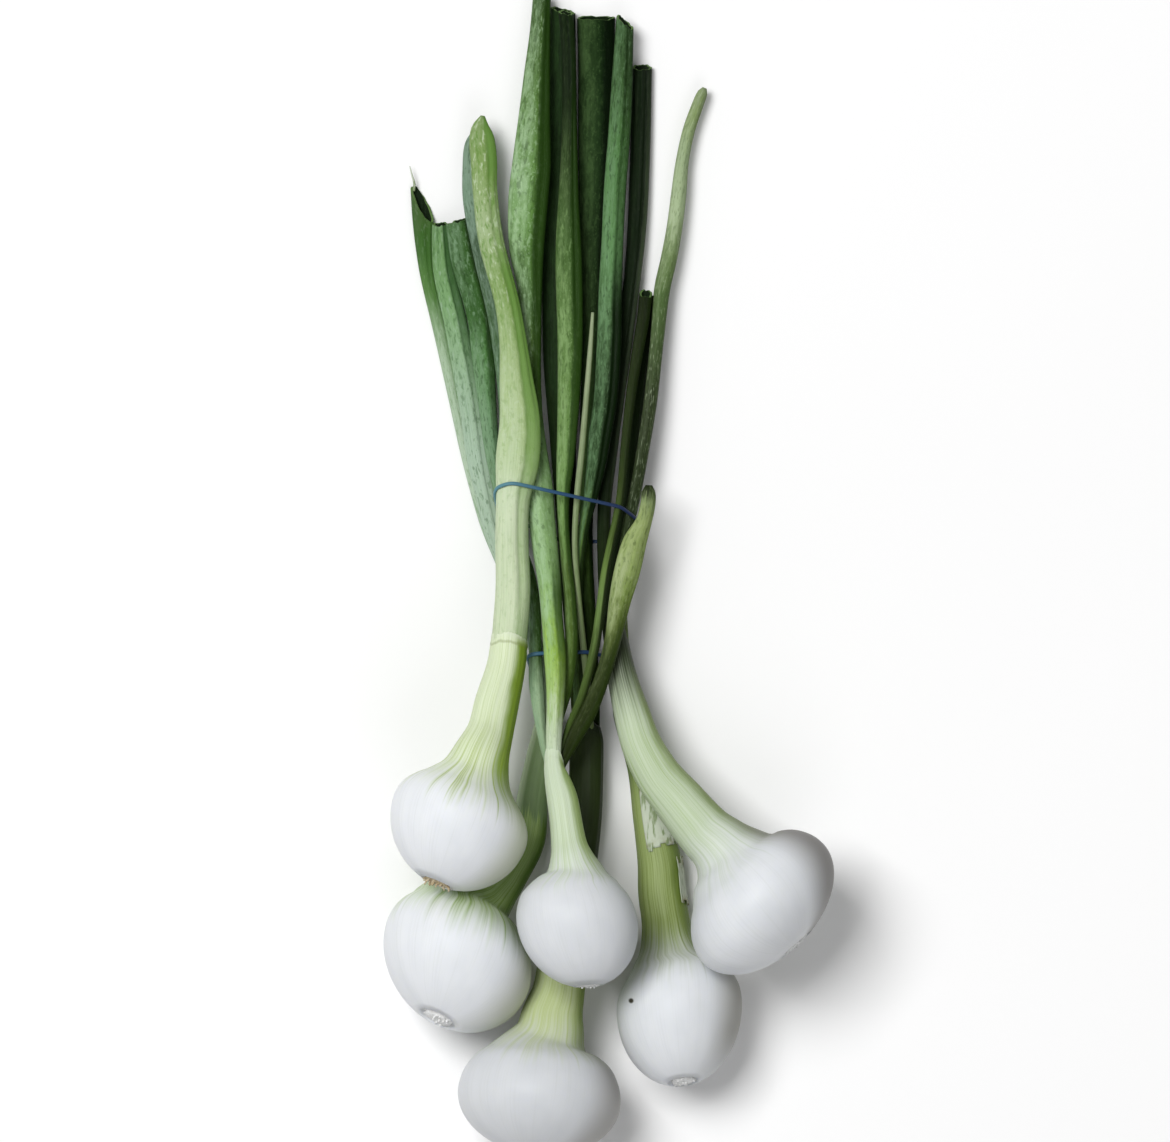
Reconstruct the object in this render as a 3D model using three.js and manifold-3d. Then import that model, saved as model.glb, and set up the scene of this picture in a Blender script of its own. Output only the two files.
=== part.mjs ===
// A bunch of six spring onions, lying flat and tied with two thin rubber bands.
// Millimetres, +Z up. The bulbs point to -Y and the leaves to +Y. Z = 0 is the surface it lies on.
import * as THREE from "three";
import { mergeVertices } from "three/addons/utils/BufferGeometryUtils.js";
import Module from "manifold-3d";

const wasm = await Module();
wasm.setup();

// Driving dimensions
const GAP = 0.3; // clearance between neighbouring pieces
const BULB_SIDES = 20;
const LEAF_SIDES = 8;
const LEAF_WALL = 0.9; // wall of a hollow leaf at its cut end
const HOLLOW_DEPTH = 9; // how deep a cut leaf is open
const HOLLOW_TAPER = 0.8; // width of the hollow at its bottom, as a share of its mouth
const HOLLOW_LEAST = 3.6; // leaves thinner than this end solid
const BAND_RADIUS = 0.8;
const BAND_SIDES = 6;
const BAND_STEP = 1.6; // shortest side of a band's outline
const PLATE_DEPTH = 1.2; // depth of the dimple that the root plate sits in
const PLATE_PROUD = 0.7; // how far the root plate stands out of it
const PLATE_SIDES = 10;
const PLATE_INSET = 0.72; // from the rim of the bulb's root end to the plate
const PLATE_TAPER = 0.8; // outer face of the plate as a share of its widest
const STUB_SIDES = 4;
const STUB_COUNT = 9;
const STUB_RADIUS = 0.55;
const STUB_TAPER = 0.6; // end of a stub as a share of its foot
const STUB_LEAN = 0.4; // outward lean of a stub, as a share of its length
const STUB_REACH = 0.78; // how far out the stubs stand, as a share of the plate's radius
const STUB_TURN = 2.4; // radians from each stub to the next, which spreads them evenly
const NECK_STEPS = 2; // rings for each stretch of a stem's route
const BAND_CLEARANCE = 0.45; // from a band's skin to the leaves that it ties

// The outline of a bulb's round part: angles of its rings from the root end, in degrees.
const BULB_ANGLES = [15, 26, 39, 54, 70, 86, 101, 114, 126];

// Bulbs and stems. centre is the middle of the bulb's widest ring, radius that ring's, rootReach and
// neckReach how far the bulb goes to its two ends, and stubs the length of its trimmed roots. toward is
// its axis to the neck, and skew how far its rings shift to its level side for each millimetre along.
// shoulder goes on from the round part, as [distance along the axis, distance to its level side,
// radius], and stem from the shoulder, as [x, y, z, width, thickness].
const ONIONS = {
  a: {
    centre: [-51.7, -86.9, 47.2],
    radius: 25.4,
    rootReach: 24,
    neckReach: 17,
    stubs: 2.2,
    toward: [0.39, 0.92, -0.16],
    skew: -0.05,
    shoulder: [
      [13, -1.1, 16.9],
      [17.6, -1.5, 12.9],
      [24, -2.1, 10.5],
    ],
    stem: [
      [-41.2, -55.8, 38.6, 17, 16.6],
      [-38.9, -46, 34.4, 16.2, 15.8],
      [-35.5, -32, 29.6, 14.3, 13.8],
      [-34.2, -19.5, 27.6, 14, 13.4],
    ],
  },
  b: {
    centre: [-52.5, -134.2, 26.7],
    radius: 28.3,
    rootReach: 25,
    neckReach: 21.5,
    stubs: 2.2,
    toward: [0.44, 0.87, -0.34],
    skew: -0.15,
    shoulder: [
      [16.5, -4, 19.2],
      [20.5, -2.6, 14.4],
      [26, 0, 10.4],
    ],
    stem: [
      [-34.8, -105.6, 14.6, 14.6, 14.6],
      [-28.2, -94, 10.6, 13, 13],
      [-26.4, -80, 9.2, 12, 12],
      [-23.8, -66, 8.6, 11, 11],
      [-21, -54, 8.6, 10.8, 10.8],
      [-20.4, -46, 8.6, 10.8, 10.8],
    ],
  },
  c: {
    centre: [-10.9, -122, 50.4],
    radius: 21.6,
    rootReach: 23.3,
    neckReach: 20.5,
    stubs: 0.8,
    toward: [-0.08, 0.99, -0.1],
    skew: -0.1,
    shoulder: [
      [15, 0, 14.3],
      [17.4, 0.5, 11.2],
      [21.4, 0, 8.6],
    ],
    stem: [
      [-13.7, -95, 46.2, 13.4, 13.2],
      [-15.8, -80.5, 41.2, 11.8, 11.6],
      [-18.6, -68, 36.2, 12.6, 12.4],
      [-20, -59.5, 33.6, 12.8, 12.4],
    ],
  },
  d: {
    centre: [-24, -184, 27.9],
    radius: 29.2,
    rootReach: 20,
    neckReach: 23,
    stubs: 1.4,
    toward: [0.12, 0.98, -0.14],
    skew: 0,
    shoulder: [
      [16.8, -0.5, 18.8],
      [19.4, 0.1, 15],
      [23, 0.9, 12.6],
    ],
    stem: [
      [-19.4, -155.3, 22.4, 22.4, 22.4],
      [-17.3, -147, 19, 19.2, 19.2],
      [-15.8, -137, 15.8, 18.2, 18.2],
      [-13, -121, 12.2, 16, 16],
      [-10.5, -104, 10, 14, 14],
      [-8.2, -86, 9, 13, 13],
      [-7.6, -68, 9.2, 12.8, 12.8],
      [-7.8, -52, 10, 13, 13],
    ],
  },
  e: {
    centre: [25, -152.2, 21.6],
    radius: 22.6,
    rootReach: 28.5,
    neckReach: 19.6,
    stubs: 0.8,
    toward: [-0.12, 0.98, -0.34],
    skew: 0.07,
    shoulder: [
      [15.4, -0.9, 14.4],
      [19.8, -1.1, 11.5],
      [25, -1.2, 9.8],
    ],
    stem: [
      [20.2, -122.4, 11.2, 17.8, 17.8],
      [18.8, -112.5, 9.4, 17.4, 17.4],
      [18, -102, 8.6, 16.4, 16.4],
      [15, -86, 8.4, 13.6, 13.6],
      [12.4, -69, 8, 12, 12],
      [7.6, -53, 7.8, 11, 10.6],
      [5, -42, 7.8, 10.4, 9.8],
    ],
  },
  f: {
    centre: [54.2, -115.6, 45.2],
    radius: 30.1,
    rootReach: 19,
    neckReach: 21,
    stubs: 1,
    toward: [-0.67, 0.74, -0.08],
    skew: 0.08,
    shoulder: [
      [15.6, 1.1, 19.9],
      [19.4, 2.1, 15.3],
      [25, 2.3, 11.8],
    ],
    stem: [
      [34, -90.8, 40.6, 20.8, 20.8],
      [24.8, -80, 35.6, 18.8, 18.8],
      [17.5, -71, 31.2, 17, 17],
      [11.6, -60, 27.6, 15, 15],
      [7.9, -48, 24.8, 13.2, 13.2],
      [4.8, -36, 22.2, 11.2, 11.4],
      [2.8, -24, 20.6, 9.6, 10.4],
      [1.8, -13.5, 19.3, 8.8, 10],
    ],
  },
};

// Leaves from foot to end, as [x, y, z, width, thickness]. A leaf ends in a closed tip, or in a cut
// that slants by two distances: from its left edge to its right, and from its top to its underside.
const LEAVES = {
  a_1: {
    tip: true,
    route: [
      [-35.2, -31, 30.6, 10.6, 7],
      [-34.2, -20, 29.2, 11.4, 8],
      [-33.2, -5, 27.6, 12.4, 9.2],
      [-33.6, 11, 26.6, 12, 9.4],
      [-33.3, 25, 26.2, 12.2, 9],
      [-31.6, 39, 26.2, 15.8, 7.6],
      [-30.8, 53, 25, 14.6, 6.4],
      [-32, 67, 23.4, 12.3, 6],
      [-33.3, 81, 21.6, 10, 5.6],
      [-35.5, 95, 19.6, 9, 5.4],
      [-40.9, 116, 17, 9.2, 5.4],
      [-43.1, 134, 14.8, 9, 5.2],
      [-43.5, 144, 13.8, 9.6, 4.8],
      [-44.2, 151.5, 13.2, 9.2, 4.2],
      [-44.6, 155.8, 12.8, 6.8, 3],
      [-43.9, 160, 12.4, 1.6, 1.4],
    ],
  },
  a_2: {
    tip: true,
    route: [
      [-35.4, -31, 24.9, 6, 2.4],
      [-34.2, -19.5, 23, 6.4, 2.4],
      [-33.6, -5, 20.6, 7, 2.8],
      [-33.8, 11, 19.2, 7.4, 3],
      [-34.4, 25, 18.8, 7.4, 3.2],
      [-35, 40, 18.6, 7, 3.2],
      [-35, 55, 17.4, 6.4, 3.2],
      [-36.2, 72, 15.8, 7, 3.4],
      [-38.8, 91, 13.8, 7.6, 3.4],
      [-43.2, 112, 11.4, 8.6, 3.4],
      [-46.4, 130, 9.8, 9.2, 3.4],
      [-47, 143, 8.8, 8.4, 3.2],
      [-47, 150.5, 8, 6.6, 2.6],
      [-46.6, 155, 7.6, 1.8, 1.4],
    ],
  },
  b_1: {
    slant: [-11, 7],
    route: [
      [-21, -56, 6.4, 5, 2.8],
      [-21.6, -44, 6.3, 4.8, 2.8],
      [-24.8, -30, 6, 4.6, 2.8],
      [-30.8, -12, 5.6, 4.6, 2.8],
      [-37.5, 4, 5, 4.6, 2.8],
      [-42.4, 16, 4.4, 4.6, 2.8],
      [-46, 28, 4, 4.6, 2.8],
      [-49.6, 42, 3.6, 4.6, 2.8],
      [-54, 62, 3, 4.6, 2.8],
      [-59, 85, 2.4, 5, 3],
      [-63.4, 104, 1.8, 5.2, 3.2],
      [-64.6, 115, 1.8, 6.4, 3.6],
      [-65, 123, 1.9, 7.6, 3.8],
      [-65.3, 130, 2, 8, 4],
    ],
  },
  b_2: {
    slant: [0, 1.5],
    route: [
      [-20.9, -56, 10.4, 6, 3],
      [-21.2, -44, 10.3, 6, 3.2],
      [-24.2, -30, 10, 5.8, 3.4],
      [-30.2, -12, 9.6, 6, 3.4],
      [-36.6, 4, 9.2, 6.2, 3.4],
      [-40.4, 15, 8.8, 6.6, 3.4],
      [-43, 27, 8.6, 7.2, 3.6],
      [-45.4, 39, 8.2, 8.2, 3.8],
      [-48.4, 60, 7.8, 8.4, 4],
      [-53.6, 88, 6, 8.4, 4],
      [-57.4, 105, 5, 8, 4],
      [-58.4, 115, 4.4, 7.2, 3.8],
      [-58.8, 122.8, 4, 6.2, 3.8],
    ],
  },
  c_1: {
    slant: [0, 1.5],
    route: [
      [-18.8, -67, 38.2, 6.6, 3],
      [-19.4, -57, 36, 6.4, 3.6],
      [-17.8, -45, 33, 8.2, 4.6],
      [-18, -31, 30, 8.4, 5],
      [-19.5, -17, 27.4, 7.8, 5],
      [-20.4, -4, 25.2, 8.4, 5.4],
      [-21.9, 8, 23.4, 9.2, 5.4],
      [-23.3, 20, 21.8, 9.6, 5.4],
      [-24, 30, 20.4, 9.6, 5.2],
      [-25.6, 42, 18.4, 9, 5],
      [-26.9, 55, 16.6, 8.4, 4.8],
      [-27.3, 70, 14.8, 8, 4.6],
      [-27.2, 85, 13.4, 8, 4.6],
      [-27.5, 100, 12.4, 9.2, 5],
      [-28.6, 114, 11.8, 12.8, 5.8],
      [-28, 130, 11.2, 14.4, 6.2],
      [-26.8, 143, 10.6, 14, 6.2],
      [-25.9, 158, 9.8, 11.7, 5.8],
      [-24.9, 174, 8.8, 9.6, 5.4],
      [-23.8, 189, 7.8, 7.6, 5],
      [-23.1, 203, 7.2, 6.4, 4.6],
    ],
  },
  c_2: {
    slant: [1, 1],
    route: [
      [-22.4, -67, 34.6, 3.2, 3.2],
      [-23.8, -55, 30.6, 3.8, 3.2],
      [-25, -40, 24.8, 5.4, 3.6],
      [-25.4, -29, 20.8, 4.8, 3.6],
      [-25.8, -12, 15.8, 4.4, 3.6],
      [-28, 0, 13.4, 4.6, 3.6],
      [-32.4, 12, 11.8, 4.8, 3.4],
      [-37.6, 28, 12, 5, 3.6],
      [-40.6, 43, 12.2, 5.6, 3.8],
      [-42.4, 60, 11.8, 6.8, 4],
      [-43.6, 75, 10.8, 8.6, 4.2],
      [-44.4, 88, 9.6, 10, 4.4],
      [-46.2, 97, 8.8, 10.6, 4.6],
      [-49.7, 109, 7.6, 10.8, 4.6],
      [-52.5, 124, 6.4, 9.8, 4.6],
    ],
  },
  c_3: {
    slant: [-1, 1.5],
    route: [
      [-20.8, -67, 30.9, 3, 2.4],
      [-18, -54, 29, 3.6, 3],
      [-14.4, -40, 27, 4.4, 3.6],
      [-12.8, -26, 25.4, 4.8, 4],
      [-13.2, -10, 23, 4.4, 4],
      [-14.6, 4, 21.2, 4.2, 4],
      [-15.6, 18, 19.6, 4, 4],
      [-15.6, 29, 18.6, 5, 4.2],
      [-14.9, 39, 17.6, 6.4, 4.6],
      [-13.8, 60, 15.6, 8, 5],
      [-13.3, 81, 13.8, 9.2, 5.4],
      [-13.7, 105, 12.2, 9.8, 5.6],
      [-13.9, 119, 11.6, 9, 5.4],
      [-13.8, 132, 11, 7.4, 5],
      [-13.5, 154, 10, 5.6, 4.6],
      [-13.6, 179, 9, 5, 4.4],
      [-14.8, 197, 8.6, 5.4, 4.4],
    ],
  },
  c_4: {
    tip: true,
    route: [
      [-15.4, -67, 34.4, 3.2, 3.2],
      [-11.4, -57, 33, 5.6, 3.8],
      [-7.4, -50, 32.4, 6.2, 4.2],
      [-2.4, -38, 31.6, 5.6, 4.4],
      [1.6, -24, 30.4, 6, 4.4],
      [4.2, -10, 29, 8, 4.6],
      [6.6, 0, 27.6, 9.4, 4.8],
      [9.2, 10, 26.4, 8.8, 4.6],
      [12.6, 18, 25.6, 5.9, 4],
      [14, 24, 25, 5.5, 3.8],
      [14.2, 28, 24.9, 5, 3.4],
      [14.3, 30.4, 24.8, 2.4, 1.8],
    ],
  },
  c_5: {
    slant: [0, 3],
    route: [
      [-17, -67, 30.9, 2.8, 2.2],
      [-13.4, -54, 30, 3, 2.6],
      [-9.3, -44, 29.2, 3.2, 2.8],
      [-6.4, -34, 28.4, 3.4, 2.8],
      [-4.2, -24, 27.4, 3.4, 3],
      [-2.6, -12, 26, 3.2, 3],
      [-1.2, -1, 24.2, 3, 3],
      [0.8, 9, 22.6, 3, 2.8],
      [2.8, 18, 21.2, 3, 2.8],
      [4.3, 26, 20.2, 3, 2.8],
      [5.8, 42, 18, 3.2, 2.8],
      [7.8, 60, 15.6, 3.6, 3],
      [10.2, 76, 13.2, 4.2, 3.2],
      [12.4, 89, 11.4, 4.6, 3.4],
      [13.4, 98.4, 10.4, 4.8, 3.8],
    ],
  },
  d_1: {
    slant: [0, 1.5],
    route: [
      [-4.8, -62, 7.2, 3.8, 3.8],
      [-5, -46, 8, 4.4, 4.4],
      [-5.8, -30, 8.8, 4.8, 4.6],
      [-6.8, -10, 9.8, 4.8, 4.6],
      [-7.6, 10, 10.2, 4.8, 4.6],
      [-7.4, 28, 9.8, 5.4, 4.6],
      [-6.4, 50, 8, 7, 4.4],
      [-5.4, 75, 6, 8.2, 4.2],
      [-5.2, 100, 4.2, 10, 4],
      [-4.9, 124, 2.8, 10.9, 4],
      [-4.2, 150, 2.1, 12.3, 4],
      [-3.9, 175, 1.9, 12.9, 4],
      [-4.1, 195.4, 1.9, 13.4, 4],
    ],
  },
  d_2: {
    slant: [-2, 1.5],
    route: [
      [-10.6, -62, 7.2, 3.8, 3.8],
      [-10.9, -46, 8, 4.4, 4.4],
      [-12, -28, 8.2, 5.4, 4.6],
      [-13.4, -5, 8.8, 6.4, 4.6],
      [-14.8, 20, 9.2, 7.2, 4.8],
      [-15.7, 45, 7.6, 9.4, 4.8],
      [-16.9, 75, 5.4, 12, 4.6],
      [-17, 105, 3.6, 12.4, 4.4],
      [-16.6, 135, 2.4, 11.4, 4.4],
      [-16, 165, 2.1, 10.2, 4.4],
      [-15.8, 198, 2.1, 9, 4.4],
    ],
  },
  d_3: {
    tip: true,
    route: [
      [-5.6, -62, 12, 2.4, 2.2],
      [-6.6, -47, 15.6, 2.4, 2.2],
      [-8.4, -28, 19, 2.4, 2.2],
      [-10.4, -8, 20.6, 2.2, 2.2],
      [-11.6, 10, 20.6, 2.2, 2.2],
      [-10.8, 26, 20, 2.4, 2.2],
      [-9.2, 42, 18.6, 2.4, 2.2],
      [-7.8, 58, 16.8, 2.2, 2],
      [-6.3, 76, 14.8, 2, 1.8],
      [-5.3, 91, 13.4, 1.2, 1.2],
    ],
  },
  d_4: {
    slant: [-4, 2],
    route: [
      [-9.6, -62, 12, 3.6, 3],
      [-10.2, -47, 13.2, 3.8, 3.4],
      [-10.6, -28, 15.2, 4, 3.8],
      [-10.8, -10, 16.4, 3.8, 3.8],
      [-10, 4, 16.6, 3.8, 3.8],
      [-8.6, 15, 16.6, 4, 4],
      [-6.2, 26, 16.4, 5.2, 4.2],
      [-4.2, 37, 16.2, 7, 4.6],
      [-2.9, 47, 15.8, 8.2, 5],
      [-0.8, 61, 15, 8.6, 5.2],
      [0.4, 81, 13.8, 9, 5.4],
      [0.8, 98, 12.8, 8.6, 5.2],
      [1.6, 116, 11.8, 8, 5],
      [2.5, 135, 11, 8.1, 5],
      [4, 154, 10.2, 8, 5],
      [4.9, 170, 9.8, 7.7, 4.8],
      [6, 193.6, 9.4, 6.4, 4.4],
    ],
  },
  e_1: {
    slant: [0, 2],
    route: [
      [6.6, -52, 7.8, 6, 5.4],
      [4.6, -41, 7.8, 6, 5.4],
      [2, -28, 8.2, 6, 5.4],
      [-0.4, -10, 9.4, 5.4, 5],
      [-1.4, 8, 10, 5, 4.8],
      [-1.1, 25, 10, 5, 4.8],
      [0.5, 40, 9.2, 5.4, 4.8],
      [2.8, 60, 7.8, 6, 4.8],
      [5.6, 81, 6.4, 6.4, 4.8],
      [8.4, 102, 5, 6.2, 4.8],
      [9.8, 116, 4.2, 6.8, 4.8],
      [10.8, 132, 3.6, 7.3, 4.8],
      [11.5, 154, 3, 7.4, 4.8],
      [12, 178, 2.7, 7.2, 4.6],
    ],
  },
  f_1: {
    tip: true,
    route: [
      [5.4, -26, 21, 4.2, 5.6],
      [4.6, -13, 19.6, 4.4, 4.8],
      [5.4, 1, 18, 4.4, 4.4],
      [7.1, 16, 16.4, 4.5, 4.2],
      [9.2, 26, 15.2, 4.5, 4.2],
      [11.8, 40, 13.6, 4.6, 4],
      [14.9, 60, 11.6, 5, 4],
      [17.2, 81, 9.8, 5, 4],
      [19, 99, 8.4, 5.9, 4],
      [21.4, 110, 7.6, 6, 4],
      [23.4, 121, 7, 5.8, 4],
      [24.9, 133, 6.4, 5.6, 3.8],
      [26.1, 144, 6, 4.8, 3.6],
      [28.4, 155, 5.7, 4.5, 3.2],
      [31.7, 164.5, 5.4, 4.2, 2.8],
      [33.3, 168.4, 5.3, 3.6, 2.2],
      [34, 170, 5.3, 1.6, 1.2],
    ],
  },
  f_2: {
    slant: [0, 3],
    route: [
      [0.6, -26, 19, 3.6, 4.4],
      [0.2, -13, 17, 4.2, 4],
      [1.8, 1, 13.4, 4.8, 4],
      [4.8, 14, 11.2, 5.2, 4],
      [7.6, 28, 9.8, 5.6, 4],
      [9.4, 42, 8.8, 5.8, 4],
      [11.2, 60, 7.2, 6, 4],
      [13.2, 78, 5.8, 5.8, 4],
      [15.6, 96.6, 4.6, 5.4, 4],
    ],
  },
};

// Bands: a plane through a point, with its slope across the bunch and with height, and what it ties.
const BANDS = {
  band_upper: {
    at: [-31, 31, 31],
    acrossSlope: -0.04,
    heightSlope: 0.8,
    ties: ["a_1", "a_2", "c_1", "c_3", "c_5", "d_1", "d_2", "d_3", "d_4", "e_1", "f_1", "f_2"],
  },
  band_lower: {
    at: [-25.5, -29, 22.5],
    acrossSlope: 0.1,
    heightSlope: 0.4,
    ties: ["b_1", "b_2", "c_2", "d_1", "d_2", "d_3", "d_4", "e_1"],
  },
};

const COLOURS = {
  bulb: "#e6ebe3",
  leaf: "#3f7a3a",
  paleLeaf: "#a9c48a",
  roots: "#b79f78",
  band: "#1f4f7c",
};
const PALE_LEAVES = ["a_1", "b_2", "c_4", "d_3"];

// A smooth route through points of any number of values, even where their spacing is uneven.
function smoothRoute(points, steps) {
  const knots = [0];
  for (let i = 1; i < points.length; i++) {
    const [a, b] = [points[i - 1], points[i]];
    knots.push(knots[i - 1] + Math.hypot(b[0] - a[0], b[1] - a[1], b[2] - a[2]));
  }
  const slope = (i, k) => {
    const [lo, hi] = [Math.max(i - 1, 0), Math.min(i + 1, points.length - 1)];
    return (points[hi][k] - points[lo][k]) / (knots[hi] - knots[lo]);
  };
  const out = [points[0]];
  for (let i = 0; i + 1 < points.length; i++) {
    const span = knots[i + 1] - knots[i];
    for (let j = 1; j <= steps; j++) {
      const t = j / steps;
      const [t2, t3] = [t * t, t * t * t];
      out.push(
        points[i].map(
          (value, k) =>
            (2 * t3 - 3 * t2 + 1) * value +
            (t3 - 2 * t2 + t) * span * slope(i, k) +
            (3 * t2 - 2 * t3) * points[i + 1][k] +
            (t3 - t2) * span * slope(i + 1, k),
        ),
      );
    }
  }
  return out;
}

// A frame at a place: the direction it faces, its level side and its upward side.
function frameAt(place, toward) {
  const along = toward.clone().normalize();
  const side = along.clone().cross(new THREE.Vector3(0, 0, 1)).normalize();
  return { place, along, side, up: side.clone().cross(along) };
}

// The frames of a route at each of its stations.
function framesOf(stations) {
  const places = stations.map((s) => new THREE.Vector3(s[0], s[1], s[2]));
  return places.map((place, i) => {
    const before = places[Math.max(i - 1, 0)];
    const after = places[Math.min(i + 1, places.length - 1)];
    return frameAt(place, after.clone().sub(before));
  });
}

const SQUARE_CUT = [0, 0];

// One oval ring of points in a frame, slanted like a leaf's cut and turned by a share of one side.
function oval(frame, width, thickness, sides, slant = SQUARE_CUT, turned = 0) {
  return Array.from({ length: sides }, (_, i) => {
    const angle = ((i + turned) / sides) * 2 * Math.PI;
    const [across, upward] = [Math.cos(angle) / 2, Math.sin(angle) / 2];
    return frame.place
      .clone()
      .addScaledVector(frame.side, across * width)
      .addScaledVector(frame.up, upward * thickness)
      .addScaledVector(frame.along, across * slant[0] - upward * slant[1]);
  });
}

// A closed skin over rings of equally many points, or a closed loop of them.
function skin(rings, closed = false) {
  const sides = rings[0].length;
  const points = rings.flat();
  const index = [];
  const last = closed ? rings.length : rings.length - 1;
  for (let r = 0; r < last; r++) {
    const next = (r + 1) % rings.length;
    for (let i = 0; i < sides; i++) {
      const j = (i + 1) % sides;
      const [a, b] = [r * sides + i, r * sides + j];
      const [c, d] = [next * sides + i, next * sides + j];
      index.push(a, d, b, a, c, d);
    }
  }
  if (!closed) {
    const cap = (ring, turned) => {
      const centre = points.length;
      const middle = new THREE.Vector3();
      for (let i = 0; i < sides; i++) middle.add(points[ring * sides + i]);
      points.push(middle.divideScalar(sides));
      for (let i = 0; i < sides; i++) {
        const [a, b] = [ring * sides + i, ring * sides + ((i + 1) % sides)];
        index.push(centre, ...(turned ? [b, a] : [a, b]));
      }
    };
    cap(0, false);
    cap(rings.length - 1, true);
  }
  const geometry = new THREE.BufferGeometry();
  geometry.setAttribute("position", new THREE.BufferAttribute(
    new Float32Array(points.flatMap((p) => [p.x, p.y, p.z])), 3));
  geometry.setIndex(index);
  return geometry;
}

// Nothing reaches below the surface that the bunch lies on.
function restOnSurface(rings) {
  rings.flat().forEach((p) => {
    p.z = Math.max(p.z, 0);
  });
  return rings;
}

function toSolid(geometry) {
  const merged = mergeVertices(geometry, 1e-4);
  return new wasm.Manifold(new wasm.Mesh({
    numProp: 3,
    vertProperties: merged.getAttribute("position").array,
    triVerts: new Uint32Array(merged.index.array),
  }));
}

function toGeometry(solid) {
  const mesh = solid.getMesh();
  const geometry = new THREE.BufferGeometry();
  geometry.setAttribute("position", new THREE.BufferAttribute(mesh.vertProperties, 3));
  geometry.setIndex(new THREE.BufferAttribute(mesh.triVerts, 1));
  return geometry;
}

// The largest body of a solid: a cut can leave a loose scrap.
function largest(solid) {
  return solid.decompose().reduce((best, body) => (body.volume() > best.volume() ? body : best));
}

// The stations of a bulb and its stem: the round of the bulb, its shoulder, then the stem's route.
function onionStations({ centre, radius, rootReach, neckReach, toward, skew, shoulder, stem }) {
  const { place, along, side } = frameAt(new THREE.Vector3(...centre), new THREE.Vector3(...toward));
  const ring = (distance, across, r) => [
    ...place.clone().addScaledVector(along, distance).addScaledVector(side, across), 2 * r, 2 * r];
  const round = BULB_ANGLES.map(THREE.MathUtils.degToRad).map((angle) => {
    const distance = -(angle < Math.PI / 2 ? rootReach : neckReach) * Math.cos(angle);
    return ring(distance, skew * distance, radius * Math.sin(angle));
  });
  const neck = [...round.slice(-1), ...shoulder.map((row) => ring(...row)), ...stem];
  return [...round.slice(0, -1), ...smoothRoute(neck, NECK_STEPS)];
}

// The frames of those stations. The bulb's rings all face along its axis, and the shoulder's turn from
// it to the stem's route bit by bit, so that no ring crosses its neighbour.
function onionFrames({ toward, shoulder }, stations) {
  const axis = new THREE.Vector3(...toward).normalize();
  const first = BULB_ANGLES.length - 1;
  const turning = NECK_STEPS * (shoulder.length + 1);
  return framesOf(stations).map(({ place, along }, i) => {
    const share = THREE.MathUtils.smoothstep(i, first, first + turning);
    return frameAt(place, axis.clone().lerp(along, share));
  });
}

function onionRings(onion) {
  const stations = onionStations(onion);
  const frames = onionFrames(onion, stations);
  // Half a side of turn puts a flat side underneath, which the bulb rests on.
  const ring = (f, width, thickness) => oval(f, width, thickness, BULB_SIDES, SQUARE_CUT, 0.5);
  const rings = frames.map((f, i) => ring(f, stations[i][3], stations[i][4]));
  const rim = stations[0][3] - 2 * GAP;
  const floorOfDimple = { ...frames[0], place: frames[0].place.clone() };
  floorOfDimple.place.addScaledVector(frames[0].along, PLATE_DEPTH);
  const inside = [ring(floorOfDimple, rim, rim), ring(frames[0], rim, rim)];
  return restOnSurface([...inside, ...rings]);
}

// A leaf's rings; grown is the clearance to add all round, for cutting its socket.
function leafRings({ route, tip, slant = SQUARE_CUT }, grown = 0) {
  const frames = framesOf(route);
  if (grown) frames[0].place.addScaledVector(frames[0].along, -grown);
  const last = route.length - 1;
  const rings = frames.map((f, i) => {
    const [width, thickness] = route[i].slice(3).map((size) => size + 2 * grown);
    return oval(f, width, thickness, LEAF_SIDES, i === last ? slant : SQUARE_CUT);
  });
  if (!tip && !grown && route[last][4] >= HOLLOW_LEAST) {
    const [width, thickness] = route[last].slice(3).map((size) => size - 2 * LEAF_WALL);
    const deep = { ...frames[last], place: frames[last].place.clone() };
    deep.place.addScaledVector(frames[last].along, -HOLLOW_DEPTH);
    rings.push(oval(frames[last], width, thickness, LEAF_SIDES, slant));
    rings.push(oval(deep, width * HOLLOW_TAPER, thickness * HOLLOW_TAPER, LEAF_SIDES));
  }
  return grown ? rings : restOnSurface(rings);
}

// The root plate in the bulb's dimple, with a ring and a middle of trimmed root stubs on it.
function rootsSolid(onion) {
  const stations = onionStations(onion);
  const { place, along, side, up } = onionFrames(onion, stations)[0];
  const radius = stations[0][3] / 2 - PLATE_INSET;
  const out = along.clone().negate();
  const disc = (depth, r) => oval(
    { place: place.clone().addScaledVector(out, depth), along, side, up }, 2 * r, 2 * r, PLATE_SIDES);
  const plate = [
    disc(GAP - PLATE_DEPTH, radius),
    disc(PLATE_PROUD / 3, radius),
    disc(PLATE_PROUD, radius * PLATE_TAPER),
  ];
  let solid = toSolid(skin(plate.map((r) => r.reverse())));
  for (let i = 0; i < STUB_COUNT; i++) {
    const turn = i * STUB_TURN;
    const reach = radius * STUB_REACH * Math.sqrt(i / STUB_COUNT);
    const away = side.clone().multiplyScalar(Math.cos(turn)).addScaledVector(up, Math.sin(turn));
    const lean = out.clone().addScaledVector(away, STUB_LEAN).normalize();
    const foot = place.clone().addScaledVector(away, reach);
    const end = foot.clone().addScaledVector(lean, onion.stubs);
    const ring = (spot, size) => oval({ place: spot, along: lean, side, up }, size, size, STUB_SIDES);
    const stub = [ring(foot, 2 * STUB_RADIUS), ring(end, 2 * STUB_RADIUS * STUB_TAPER)];
    solid = solid.add(toSolid(skin(stub.map((r) => r.reverse()))));
  }
  return solid;
}

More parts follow.
